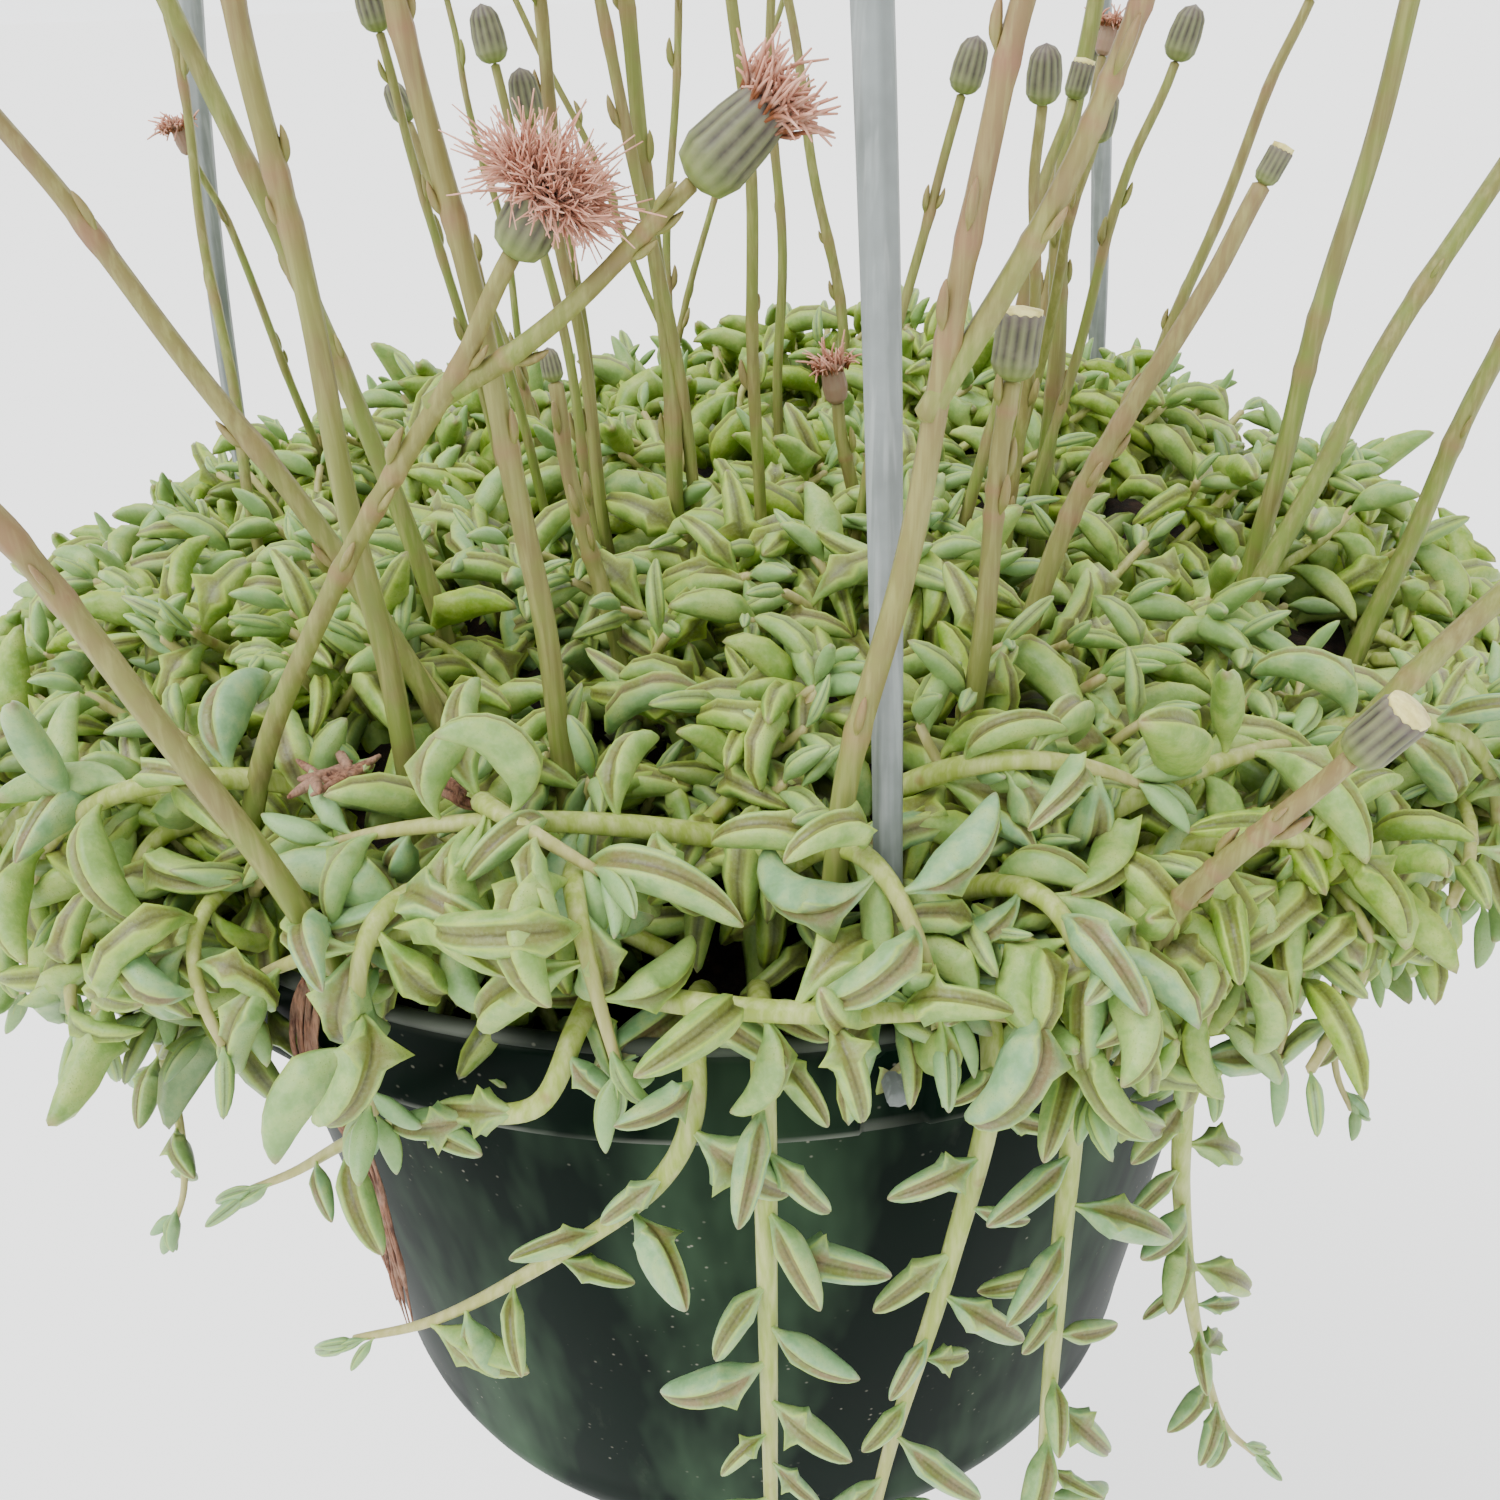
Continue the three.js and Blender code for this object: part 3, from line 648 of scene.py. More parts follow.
FIN_PLACE = 0.37
FIN_SPREAD = 0.1
RIDGE_LEVEL = 0.7
# Half width at shares of the leaf's length: a thin foot that swells to the fins, then a long taper.
LEAF_OUTLINE = np.array([(0, 0.17), (0.07, 0.18), (0.14, 0.34), (0.21, 0.6), (0.3, 0.86), (0.38, 0.98),
                         (0.5, 1.0), (0.64, 0.94), (0.78, 0.8), (0.89, 0.58), (0.96, 0.32), (1, 0.08)])


def add_leaves(surface, root, forward, up, length, bend, fin, width, sway, section, rings, **values):
    """Curved leaves with two fins, one leaf for each root.

    The middle line is an arc that turns by bend away from the leaf's face, and strays sideways by sway
    times the square of the share walked. The section is scaled by LEAF_OUTLINE, with more depth in the
    middle, and each ridge is pushed out beside FIN_PLACE by a short peak, so that it stands out as a
    pointed fin.
    """
    side = unit(np.cross(up, forward))
    up = np.cross(forward, side)
    share = np.concatenate([rings, [0.0, 1.0]])
    bend = np.maximum(np.abs(bend), 0.05)[:, None] * np.sign(bend + 1e-9)[:, None]
    angle = bend * share
    middle_x = np.sin(angle) / bend
    middle_z = -(1 - np.cos(angle)) / bend
    half = np.interp(rings, *LEAF_OUTLINE.T)[None, :] * width[:, None]
    deep = half * (0.95 + 0.3 * np.sin(np.pi * rings))
    bell = np.clip(1 - np.abs(rings - FIN_PLACE) / FIN_SPREAD, 0, 1) ** 1.3 * (fin * width)[:, None]
    bell = bell[..., None]
    across, height = section.T
    on_ridge = (height > RIDGE_LEVEL) * 1.0
    near_ridge = 0.7 * (np.abs(across) > 0.8) * (height > -0.1) * (1 - on_ridge)
    lateral = half[..., None] * across + bell * np.sign(across) * (near_ridge + 1.5 * on_ridge)
    raised = deep[..., None] * height + bell * on_ridge * 0.2
    turn = angle[:, :-2, None]
    x = middle_x[:, :-2, None] + raised * np.sin(turn) + bell * on_ridge * 0.2
    z = middle_z[:, :-2, None] + raised * np.cos(turn)
    y = lateral + (sway[:, None] * rings**2)[..., None]
    poles = (middle_x[:, -2:], sway[:, None] * np.array([0.0, 1.0]), middle_z[:, -2:])
    x, y, z = (np.concatenate([part.reshape(len(root), -1), pole], 1)[..., None]
               for part, pole in zip((x, y, z), poles))
    local = x * forward[:, None] + y * side[:, None] + z * up[:, None]
    vertices = root[:, None] + length[:, None, None] * local
    face = (height > 0.4) * (np.abs(across) < 0.6) * (1 - np.abs(across) * 2)
    fade = smooth(0.12, 0.34, rings)[:, None] * (1 - 0.6 * smooth(0.9, 1.0, rings))[:, None]
    surface.add(vertices, *ring_faces(len(rings), len(section)),
                face=with_poles(face * fade),
                ridge=with_poles(on_ridge * smooth(0.1, 0.3, rings)[:, None]),
                along=with_poles(np.repeat(rings, len(section)), 0, 1),
                **{key: value[:, None] for key, value in values.items()})


def leaf_tint(root, rng):
    """How waxy each leaf is, from 0 to 1: patchy over the mound, and more so towards the front."""
    patch = waves(root, 70 * MM, 21) * 0.18 - root[:, 1] / RIM_RADIUS * 0.3
    return np.clip(0.32 + patch + rng.normal(0, 0.2, len(root)), 0, 1)


def leafy_path(surface, paths, shares, size, rng, section, rings, lift, outward, shade=0.0):
    """Leaves in a spiral along each path.

    Each leaf leaves the stem sideways and a little forwards, is lifted towards the sky and pulled
    outward, and turns its face to the stem's tip and the sky. The last few are small, young and have
    smaller fins, down to none at the tip.
    """
    copies, count = len(paths), len(shares)
    tangent, side, normal = path_frames(paths)
    root, ahead, side, normal = (stations(a, shares) for a in (paths, tangent, side, normal))
    spiral = np.arange(count) * math.radians(GOLDEN_TURN) + rng.uniform(0, 2 * np.pi, (copies, 1))
    spiral = spiral + rng.normal(0, 0.25, (copies, count))
    spoke = np.cos(spiral)[..., None] * side + np.sin(spiral)[..., None] * normal
    sky = np.array([0.0, 0.0, 1.0])
    tip = smooth(0.78, 1.0, np.asarray(shares))[None, :, None]
    forward = spoke * (1 - 0.55 * tip) + ahead * (0.35 + 0.8 * tip) + sky * lift + outward
    forward = unit(forward + rng.normal(0, 0.16, forward.shape))
    up = unit(ahead * 0.55 + sky + rng.normal(0, 0.65, forward.shape))
    up = unit(up - forward * (up * forward).sum(-1, keepdims=True))
    grown = 1 - 0.5 * tip[..., 0]
    length = size * grown * rng.uniform(0.74, 1.15, (copies, count))
    young = np.broadcast_to(tip[..., 0], (copies, count))
    many = copies * count
    root, forward, up = (part.reshape(many, 3) for part in (root, forward, up))
    young = young.ravel()
    fin = rng.choice([0.0, 0.25, 0.5, 0.9], many, p=[0.25, 0.3, 0.3, 0.15]) * (1 - young)
    add_leaves(surface, root, forward, up, length.ravel(),
               rng.uniform(1.2, 3.1, many) * (1 - 0.6 * young), fin,
               rng.uniform(0.105, 0.14, many), rng.normal(0, 0.17, many), section, rings,
               tint=leaf_tint(root, rng), young=young, shade=np.full(many, shade))


# ------------------------------------------------------------------------------------ pot and soil


def pot_wall(pot, inset):
    """The wall's outline at an inset from its outside, from the base's edge up to the rim."""
    angle = np.radians(np.linspace(90, 0, 12))
    foot_r = pot.body_foot_radius - pot.foot_round * (1 - np.cos(angle)) - inset
    foot_z = -pot.body_depth - (pot.foot_round - inset) * np.sin(angle)
    share = np.linspace(0.03, 1, 34)
    body_r = mix(pot.body_foot_radius, pot.body_top_radius, share) - inset
    body_z = mix(-pot.body_depth, -pot.collar_height - inset, share)
    return foot_r, foot_z, body_r, body_z


def make_pot(pot, hanger):
    """A turned shell: base, rounded foot, tapering body, ledge, flared collar and rolled lip. A pocket
    is pressed into the collar at each arm."""
    arms = hanger.first_azimuth + np.arange(3) * 120.0
    fine = np.linspace(-6, 6, 41)
    near_arms = [np.mod(azimuth + fine, 360) for azimuth in arms]
    azimuths = np.unique(np.concatenate([np.arange(0, 360, 1.8), *near_arms]).round(4))
    off = np.abs((azimuths[:, None] - arms + 180) % 360 - 180).min(1)
    wall = pot.wall
    foot_r, foot_z, body_r, body_z = pot_wall(pot, 0.0)
    top_r, rim = pot.collar_foot_radius, RIM_RADIUS
    height = pot.collar_height
    collar = np.linspace(0, 1, 16)
    lip = np.radians(np.linspace(-60, 200, 12))
    lip_r = 1.3 * MM
    outer_r = np.concatenate([[foot_r[0] * s for s in (0.0005, 0.3, 0.6, 0.9)], foot_r, body_r,
                              [top_r - 2 * MM, top_r - 0.4 * MM], mix(top_r, rim - 0.5 * MM, collar),
                              rim - lip_r + lip_r * np.cos(lip)])
    outer_z = np.concatenate([[-POT_DEPTH] * 4, foot_z, body_z,
                              [-height - 0.1 * MM, -height + 0.1 * MM],
                              mix(-height + 0.5 * MM, -2.6 * MM, collar), -lip_r + lip_r * np.sin(lip)])
    in_foot_r, in_foot_z, in_body_r, in_body_z = (part[::-1] for part in pot_wall(pot, wall))
    inner_r = np.concatenate([mix(rim, top_r, collar) - wall - 0.6 * MM, in_body_r, in_foot_r,
                              [in_foot_r[-1] * s for s in (0.6, 0.0005)]])
    inner_z = np.concatenate([mix(-2.8 * MM, -height + wall, collar), in_body_z, in_foot_z,
                              [-POT_DEPTH + wall] * 2])
    radius = np.concatenate([outer_r, inner_r])[:, None] + 0 * azimuths
    z = np.concatenate([outer_z, inner_z])[:, None] + 0 * azimuths
    in_collar = smooth(-height - 0.3 * MM, -height + 0.8 * MM, z) * (radius > pot.body_top_radius)
    arch = 4 * MM + 2.5 * MM * (off / 2.3) ** 2
    below = 1 - smooth(-arch - 0.8 * MM, -arch, z)
    pocket = (1 - smooth(2.1, 2.45, off)) * below * in_collar
    radius = radius - 2.0 * MM * pocket
    # painted highlight: a light band along the collar's foot and a fainter one along the lip, patchy around
    # the pot
    worn = np.exp(-((z + height - 0.3 * MM) / (0.7 * MM)) ** 2) * (radius > top_r - 3 * MM)
    worn = worn + np.exp(-((z + 1 * MM) / (1.2 * MM)) ** 2) * (radius > rim - 3.2 * MM) * 0.7
    patchy = np.sin(np.radians(azimuths * 23)) * np.sin(np.radians(azimuths * 7))
    worn = worn * np.clip(0.6 + 0.5 * patchy, 0, 1)
    surface = Surface()
    surface.add_turned(radius, z, azimuths, worn=with_poles(worn))
    piece = surface.piece("basket_pot", pot_finish(pot), "pot", "pot")
    drill_base(piece, pot)


def drill_base(piece, pot):
    """Cuts the drain holes through the base with short rods that are removed again."""
    surface = Surface()
    turns = (np.arange(6) + 0.5) * 60
    low = around(turns, pot.drain_ring_radius, -POT_DEPTH - 4 * MM)
    high = around(turns, pot.drain_ring_radius, -POT_DEPTH + 8 * MM)
    surface.add_tubes(np.stack([low, high], 1), pot.drain_radius, 24, round_end=0.0)
    rods = surface.piece("drain_rods", piece.data.materials[0], "pot")
    cut = piece.modifiers.new("drain", "BOOLEAN")
    cut.object, cut.operation, cut.solver = rods, "DIFFERENCE", "EXACT"
    bpy.context.view_layer.objects.active = piece
    piece.select_set(True)
    bpy.ops.object.modifier_apply(modifier=cut.name)
    bpy.data.objects.remove(rods, do_unlink=True)


def make_soil(pot):
    """The potting mix: a bumpy top, higher in the middle, over a plain plug that fills the pot."""
    azimuths = np.arange(0, 360, 2.25)
    shares = np.linspace(0, 1, 40)
    inset = pot.wall + 0.5 * MM
    edge = pot.collar_foot_radius - inset - 0.4 * MM
    top_r = np.maximum(shares * edge, 0.05 * MM)[:, None] + 0 * azimuths
    top_z = -15 * MM + 5 * MM * (1 - shares**2)[:, None] + 0 * azimuths
    bumps = waves(around(azimuths[None], top_r, top_z), 16 * MM, 3)
    bumps = bumps + 0.6 * waves(around(azimuths[None], top_r, top_z), 6 * MM, 4)
    top_z = top_z + 1.2 * MM * bumps * (1 - shares[:, None] ** 6)
    wall_r = np.array([edge, pot.body_top_radius - inset, pot.body_foot_radius - inset,
                       pot.body_foot_radius - pot.foot_round - inset, 0.05 * MM])[:, None] + 0 * azimuths
    wall_z = np.array([-pot.collar_height + inset, -pot.collar_height, -pot.body_depth,
                       -POT_DEPTH + inset, -POT_DEPTH + inset])[:, None] + 0 * azimuths
    radius = np.concatenate([top_r, wall_r])[::-1]
    z = np.concatenate([top_z, wall_z])[::-1]
    surface = Surface()
    surface.add_turned(radius, z, azimuths, along=0.0)
    surface.piece("potting_mix", soil_finish(), "soil", "soil")


# ------------------------------------------------------------------------------------------ hanger


def arm_path(azimuth, pot, hanger):
    """An arm's route: its toe in the collar's pocket, up inside the rim, and bowed in to the hub."""
    inside = pot.collar_foot_radius - pot.wall - hanger.arm_radius - 0.7 * MM
    hub = HUB_LOW[2] - RIM_Z
    route = [(pot.collar_foot_radius + 2 * MM, -12 * MM), (inside + 0.6 * MM, -9.5 * MM), (inside, 0),
             (inside - 8 * MM, hub * 0.25), (inside - 27 * MM, hub * 0.5), (inside - 62 * MM, hub * 0.78),
             (6 * MM, hub + HUB_HEIGHT * 0.55)]
    return smooth_path([around(azimuth, radius, z) for radius, z in route], 90)


def make_hanger(pot, hanger):
    """Three ribbed rods, thicker towards the top, and a hub with its hook, each a closed tube."""
    finish = hanger_finish(hanger)
    for i in range(3):
        surface = Surface()
        path = arm_path(hanger.first_azimuth + 120 * i, pot, hanger)
        thick = hanger.arm_radius * (0.86 + 0.2 * smooth(0.05, 0.35, np.linspace(0, 1, 90)))
        surface.add_tubes(path, thick, 32, ribs=8, rib_depth=0.05, round_end=0.3)
        surface.piece(f"arm_{i + 1}", finish, "hanger", f"hanger_arm_{i + 1}")
    surface = Surface()
    low, high = HUB_LOW[2], HUB_LOW[2] + HUB_HEIGHT
    share = np.linspace(0, 1, 28)
    centre = np.stack([0 * share, 0 * share, mix(low, high, share)], -1)
    waist = 8 * MM * np.minimum(1, np.minimum(0.62 + share * 3.2, 0.5 + (1 - share) * 3.2))
    waist = waist - 0.5 * MM * np.exp(-(((share - 0.5) / 0.06) ** 2))
    surface.add_tubes(centre, waist, 48, round_end=0.1)
    radius, rod = 13 * MM, 2.6 * MM
    middle = -(radius - rod)
    turns = np.radians(-60 + 255 * np.linspace(0, 1, 10))
    arc = np.stack([-radius * np.cos(turns), 0 * turns, middle + radius * np.sin(turns)], -1)
    shank = [(0, 0, high - 3 * MM), (0, 0, high + 1 * MM)]
    surface.add_tubes(smooth_path(np.concatenate([shank, arc]), 80), rod, 24, round_end=0.7)
    surface.piece("hub_and_hook", finish, "hanger", "hanger_hook")


# ------------------------------------------------------------------------------------- leafy crown


def crown_reach(azimuth):
    """How far the mound spreads: past both sides of the rim, less behind, and least in front."""
    side = np.abs(np.sin(np.radians(azimuth)))
    end = np.where(np.cos(np.radians(azimuth)) > 0, 7 * MM, 25 * MM)
    return RIM_RADIUS + mix(end, 41 * MM, side**1.5) + 3 * MM * np.sin(np.radians(azimuth * 7))


def crown_top(azimuth, share):
    """Height of the mound over the rim: flat in the middle, fuller at the back right, and falling
    steeply at its edge."""
    lump = 3 * np.sin(np.radians(azimuth * 5)) + 2 * np.cos(np.radians(azimuth * 3))
    rise = 12 * np.maximum(0, np.cos(np.radians(azimuth - 160))) ** 2
    return (44 + (lump + rise) * smooth(0.2, 0.6, share) - (39 + 0.5 * rise) * share**6) * MM


def make_stem_tangle_and_shade():
    """The tangle of old stems under the leaves and the painted shade among them: a dark lumpy dome well
    inside the mound.
    """
    azimuths = np.arange(0, 360, 2.5)
    share = np.linspace(0.001, 1, 30)[:, None]
    reach = (crown_reach(azimuths) - 20 * MM) * np.where(np.abs(np.sin(np.radians(azimuths))) > 0.3, 1, 0.95)
    top_r = np.minimum(share * reach, RIM_RADIUS - 5 * MM)
    top_z = crown_top(azimuths, share) - mix(20 * MM, 26 * MM, share)
    top_z = np.maximum(top_z, -13 * MM)
    top_z = top_z + 2.5 * MM * waves(around(azimuths[None], top_r, top_z), 14 * MM, 8)
    under_r = np.array([0.96, 0.5, 0.001])[:, None] * (RIM_RADIUS - 12 * MM) + 0 * azimuths
    under_z = np.array([-13, -10, -9])[:, None] * MM + 0 * azimuths
    surface = Surface()
    radius = np.concatenate([top_r, under_r])[::-1]
    z = np.concatenate([top_z, under_z])[::-1]
    surface.add_turned(radius, z, azimuths, along=0.0)
    # painted shade: the soil finish is darkened three quarters of the way to near black, to fill the mound's
    # gaps
    surface.piece("old_stems_and_painted_shade", soil_finish("thatch_and_painted_shade", 0.75), "soil", "crown")


def shoot_paths(rng, count, depth, length):
    """Shoots that sprawl outwards under the mound's surface and lift their tips to it."""
    azimuth = rng.uniform(-180, 180, count)
    share = np.sqrt(rng.uniform(0.0, 1.0, count))
    radius = share * (crown_reach(azimuth) - 11 * MM)
    tip = around(azimuth, radius, crown_top(azimuth, share) - depth)
    heading = np.radians(azimuth) + rng.normal(0, 0.9, count)
    outward = heading_at(heading)
    reach = rng.uniform(0.6, 1.25, count)[:, None] * length
    steep = rng.uniform(0.25, 0.95, count)[:, None]
    down = np.array([0.0, 0.0, -1.0])
    start = tip - outward * reach * (1 - 0.5 * steep) + down * reach * (0.3 + 0.5 * steep)
    start[:, 2] = np.maximum(start[:, 2], RIM_Z - 10 * MM)
    from_axis = np.linalg.norm(start[:, :2], axis=1, keepdims=True)
    start[:, :2] *= np.minimum(1, (RIM_RADIUS - 8 * MM) / from_axis)
    sideways = np.cross(outward, down) * rng.normal(0, 0.16, (count, 1)) * reach
    bend = mix(start, tip, 0.55) + outward * reach * 0.12 - down * reach * 0.06 + sideways
    return bezier(start, bend, tip, 12), azimuth


def skirt_paths(rng, count):
    """Shoots that spill over the rim, hang down outside it and turn their tips up."""
    azimuth = rng.uniform(-180, 180, count * 3)
    overhang = crown_reach(azimuth) - RIM_RADIUS
    clear = np.abs(azimuth - BARK_AZIMUTH) > BARK_CLEARING
    kept = (overhang > rng.uniform(6, 40, len(azimuth)) * MM) & clear
    azimuth = azimuth[kept][:count]
    overhang = crown_reach(azimuth) - RIM_RADIUS
    deep = rng.uniform(0.0, 1.0, len(azimuth))
    out = RIM_RADIUS + rng.uniform(0.35, 0.85, len(azimuth)) * overhang
    start = around(azimuth, RIM_RADIUS - 4 * MM, rng.uniform(4, 16, len(azimuth)) * MM)
    bend = around(azimuth + rng.normal(0, 4, len(azimuth)), out, rng.uniform(8, 22, len(azimuth)) * MM)
    tip = around(azimuth + rng.normal(0, 7, len(azimuth)), out, mix(8, -30, deep) * overhang / (41 * MM) * MM)
    return bezier(start, bend, tip, 12), azimuth


def make_edge_shoots(plant, leaf, stem):
    """The placed shoots over the mound's edge, each a bent stem with close, full leaves."""
    rng = np.random.default_rng(plant.seed + EDGE_SEED)
    routes = np.array([[around(azimuth, RIM_RADIUS + out * MM, up * MM) for azimuth, out, up in shoot]
                       for shoot in EDGE_SHOOTS])
    steps = 24
    root, middle, tip = routes.swapaxes(0, 1)
    paths = bezier(root, 2 * middle - (root + tip) / 2, tip, steps)
    stems, leaves = Surface(), Surface()
    thick = mix(1.7 * MM, 0.7 * MM, np.linspace(0, 1, steps) ** 1.5)
    stems.add_tubes(paths, thick, 10, dict(shade=0.0), round_end=0.8)
    lengths = np.linalg.norm(np.diff(paths, axis=1), axis=2).sum(1)
    for path, length in zip(paths, lengths):
        count = max(5, int(length / (5.5 * MM)))
        shares = np.append(np.linspace(0.16, 0.94, count), [0.97, 0.99, 1.0])
        leafy_path(leaves, path[None], shares, plant.leaf_length * 1.08, rng,
                   FINE_SECTION, FINE_RINGS, lift=0.4, outward=outward_at(path[-1]) * 0.3)
    stems.piece("edge_shoot_stems", stem, "stem", "crown")
    leaves.piece("edge_shoot_leaves", leaf, "leaf", "crown")


def make_crown(plant):
    """The leafy mound: sprawling shoots, spilling shoots at the edge, and darker ones underneath."""
    leaf, stem = leaf_finish(plant), stem_finish(plant)
    make_stem_tangle_and_shade()
    # Each layer's route and its sizes, how shaded it is, and how many leaves a shoot has.
    layers = [
        (shoot_paths, dict(count=plant.shoots, depth=5 * MM, length=46 * MM), 0.0, 10),
        (shoot_paths, dict(count=plant.shoots * 6 // 10, depth=17 * MM, length=40 * MM), 0.55, 8),
        (skirt_paths, dict(count=plant.shoots // 2), 0.0, 8),
    ]
    sectors = 6
    leaves = [Surface() for _ in range(sectors)]
    stems = Surface()
    for index, (route, sizes, shade, count) in enumerate(layers):
        rng = np.random.default_rng(plant.seed + index)
        paths, azimuth = route(rng, **sizes)
        stems.add_tubes(paths, mix(1.45 * MM, 0.8 * MM, np.linspace(0, 1, 12)), 6,
                        dict(shade=shade), round_end=0.8)
        sector = ((azimuth + 180) % 360 // (360 / sectors)).astype(int)
        outward = heading_at(np.radians(azimuth))
        for i in range(sectors):
            chosen = sector == i
            leafy_path(leaves[i], paths[chosen], np.linspace(0.18, 1.0, count), plant.leaf_length, rng,
                       PLAIN_SECTION, PLAIN_RINGS, lift=0.45,
                       outward=outward[chosen][:, None] * 0.25, shade=shade)
    for i, surface in enumerate(leaves):
        surface.piece(f"crown_leaves_{i + 1}", leaf, "leaf", "crown")
    stems.piece("crown_stems", stem, "stem", "crown")
    make_edge_shoots(plant, leaf, stem)


# ----------------------------------------------------------------------------------------- strands


def strand_path(start, end, drop, late):
    """A strand's route out of the soil, over the rim and down the pot, drifting sideways."""
    drop = drop * MM

    def turn(share):
        return mix(start, end, share**late)

    lift = 2.5 * MM
    return smooth_path([
        around(start, RIM_RADIUS - 22 * MM, -9 * MM),
        around(start, RIM_RADIUS - 9 * MM, lift - 1 * MM),
        around(start, RIM_RADIUS + 1 * MM, lift + 0.6 * MM),
        around(turn(0.08), RIM_RADIUS + 6 * MM, -6 * MM),
        around(turn(0.35), RIM_RADIUS + 4.5 * MM, -0.32 * drop),
        around(turn(0.7), RIM_RADIUS + 2 * MM, -0.68 * drop),
        around(turn(0.9), RIM_RADIUS + 5 * MM, -0.92 * drop),
        around(end, RIM_RADIUS + 9 * MM, -drop),
    ], 80)


def make_strands(plant):
    """Each strand: a stem that thins towards its tip, with leaves to both sides of it."""
    leaf, stem = bpy.data.materials["fleshy_leaf"], bpy.data.materials["pale_stem"]
    for i, strand in enumerate(STRANDS):
        rng = np.random.default_rng(plant.seed + STRAND_SEED + i)
        path = strand_path(**strand)
        node = f"strand_{i + 1:02d}"
        surface = Surface()
        thick = mix(1.7 * MM, 0.6 * MM, np.linspace(0, 1, len(path)) ** 1.8)
        surface.add_tubes(path, thick, 12, dict(shade=0.0), round_end=0.8)
        surface.piece(f"{node}_stem", stem, "stem", node)
        length = np.linalg.norm(np.diff(path, axis=0), axis=1).sum()
        count = int(length / (9.5 * MM))
        surface = Surface()
        add_strand_leaves(surface, path, count, plant, rng)
        surface.piece(f"{node}_leaves", leaf, "leaf", node)


def add_strand_leaves(surface, path, count, plant, rng):
    """Leaves that stand out to the left and right of a hanging stem in turn, tips out and a little
    down, and three more, small ones, at its tip."""
    even = np.linspace(0.1, 0.96, count) + rng.normal(0, 0.006, count)
    shares = np.clip(np.append(even, [0.975, 0.99, 1.0]), 0, 1)
    count = len(shares)
    tangent, _, _ = path_frames(path[None])
    root, ahead = stations(path[None], shares)[0], stations(tangent, shares)[0]
    outward, sideways = outward_at(root), around_axis(root)
    hand = np.where(np.arange(count) % 2, 1.0, -1.0) * np.where(rng.uniform(0, 1, count) < 0.12, -1, 1)
    tip = smooth(0.86, 1.0, shares)[:, None]
    forward = sideways * (hand * rng.uniform(0.55, 1.0, count))[:, None] * (1 - 0.6 * tip)
    forward = unit(forward + outward * rng.uniform(0.15, 0.75, (count, 1)) + ahead * (0.3 + 0.7 * tip)
                   + rng.normal(0, 0.2, (count, 3)))
    up = unit(outward * 0.9 + np.array([0, 0, 0.6]) + rng.normal(0, 0.35, (count, 3)))
    up = unit(up - forward * (up * forward).sum(-1, keepdims=True))
    young = tip[:, 0]
    size = plant.leaf_length * rng.uniform(0.5, 0.95, count) * (1 - 0.5 * young)
    fin = rng.choice([0.1, 0.4, 0.75], count, p=[0.4, 0.35, 0.25]) * (1 - young)
    add_leaves(surface, root + outward * 0.6 * MM, forward, up, size, rng.uniform(0.1, 1.1, count), fin,
               rng.uniform(0.12, 0.16, count), rng.normal(0, 0.08, count), FINE_SECTION, FINE_RINGS,
               tint=rng.uniform(0.65, 1, count), young=young, shade=np.zeros(count))


# ------------------------------------------------------------------------------------- flowers


STALK_SHARES = np.array([0, 0.3, 0.65, 1])


def stalk_path(x, y, dx, dy, height, **_):
    """A stalk's route from inside the mound, leaning more and more to one side."""
    share = STALK_SHARES
    return np.stack([x + dx * share**1.25, y + dy * share, mix(10, height, share)], -1) * MM + [0, 0, RIM_Z]


def branch_path(stalk):
    """A fork's route from the stalk out to one side and up."""
    main = smooth_path(stalk_path(**stalk), 60)
    fork = main[int(stalk["fork"] * 59)]
    tip = np.array([stalk["x"] + stalk["dx"] + stalk["side"], stalk["y"] + stalk["dy"],
                    stalk["height"] + stalk["rise"]]) * MM + [0, 0, RIM_Z]
    bend = mix(fork, tip, 0.5) + [0.12 * stalk["side"] * MM, 0, 0]
    return np.array([fork, bend, tip])


def add_stalk(surface, path, thick, rng, tint):
    """A ribbed stalk that swells at its joints, with a small pointed scale at each."""
    share = np.linspace(0, 1, len(path))
    drift = np.stack([waves(path, 55 * MM, seed) for seed in (31, 32, 33)], -1) * [1, 1, 0]
    path = path + 0.9 * MM * drift * smooth(0, 0.3, share)[:, None] * (1 - smooth(0.85, 1, share))[:, None]
    joints = np.sort(rng.uniform(0.25, 0.95, 4))
    swell = np.exp(-(((share[:, None] - joints) / 0.012) ** 2)).sum(1)
    radius = thick * mix(1.12, 0.78, share) * (1 + 0.16 * swell)
    sides = 12
    joint = with_poles(np.repeat(np.clip(swell, 0, 1), sides))
    surface.add_tubes(path, radius, sides, dict(tint=tint, joint=joint), ribs=6, rib_depth=0.07)
    routes = (path[None], *path_frames(path[None]))
    root, ahead, side, normal = (stations(route, joints)[0] for route in routes)
    turn = rng.uniform(0, 2 * np.pi, len(joints))
    spoke = np.cos(turn)[:, None] * side + np.sin(turn)[:, None] * normal
    size = rng.uniform(3.5, 7, len(joints)) * MM
    ones = np.ones(len(joints))
    add_leaves(surface, root + spoke * thick * 0.7, unit(ahead + spoke * 0.35), -spoke, size,
               -0.3 * ones, 0 * ones, 0.1 * ones, 0 * ones, PLAIN_SECTION, PLAIN_RINGS,
               tint=tint * ones, joint=0.35 * ones)


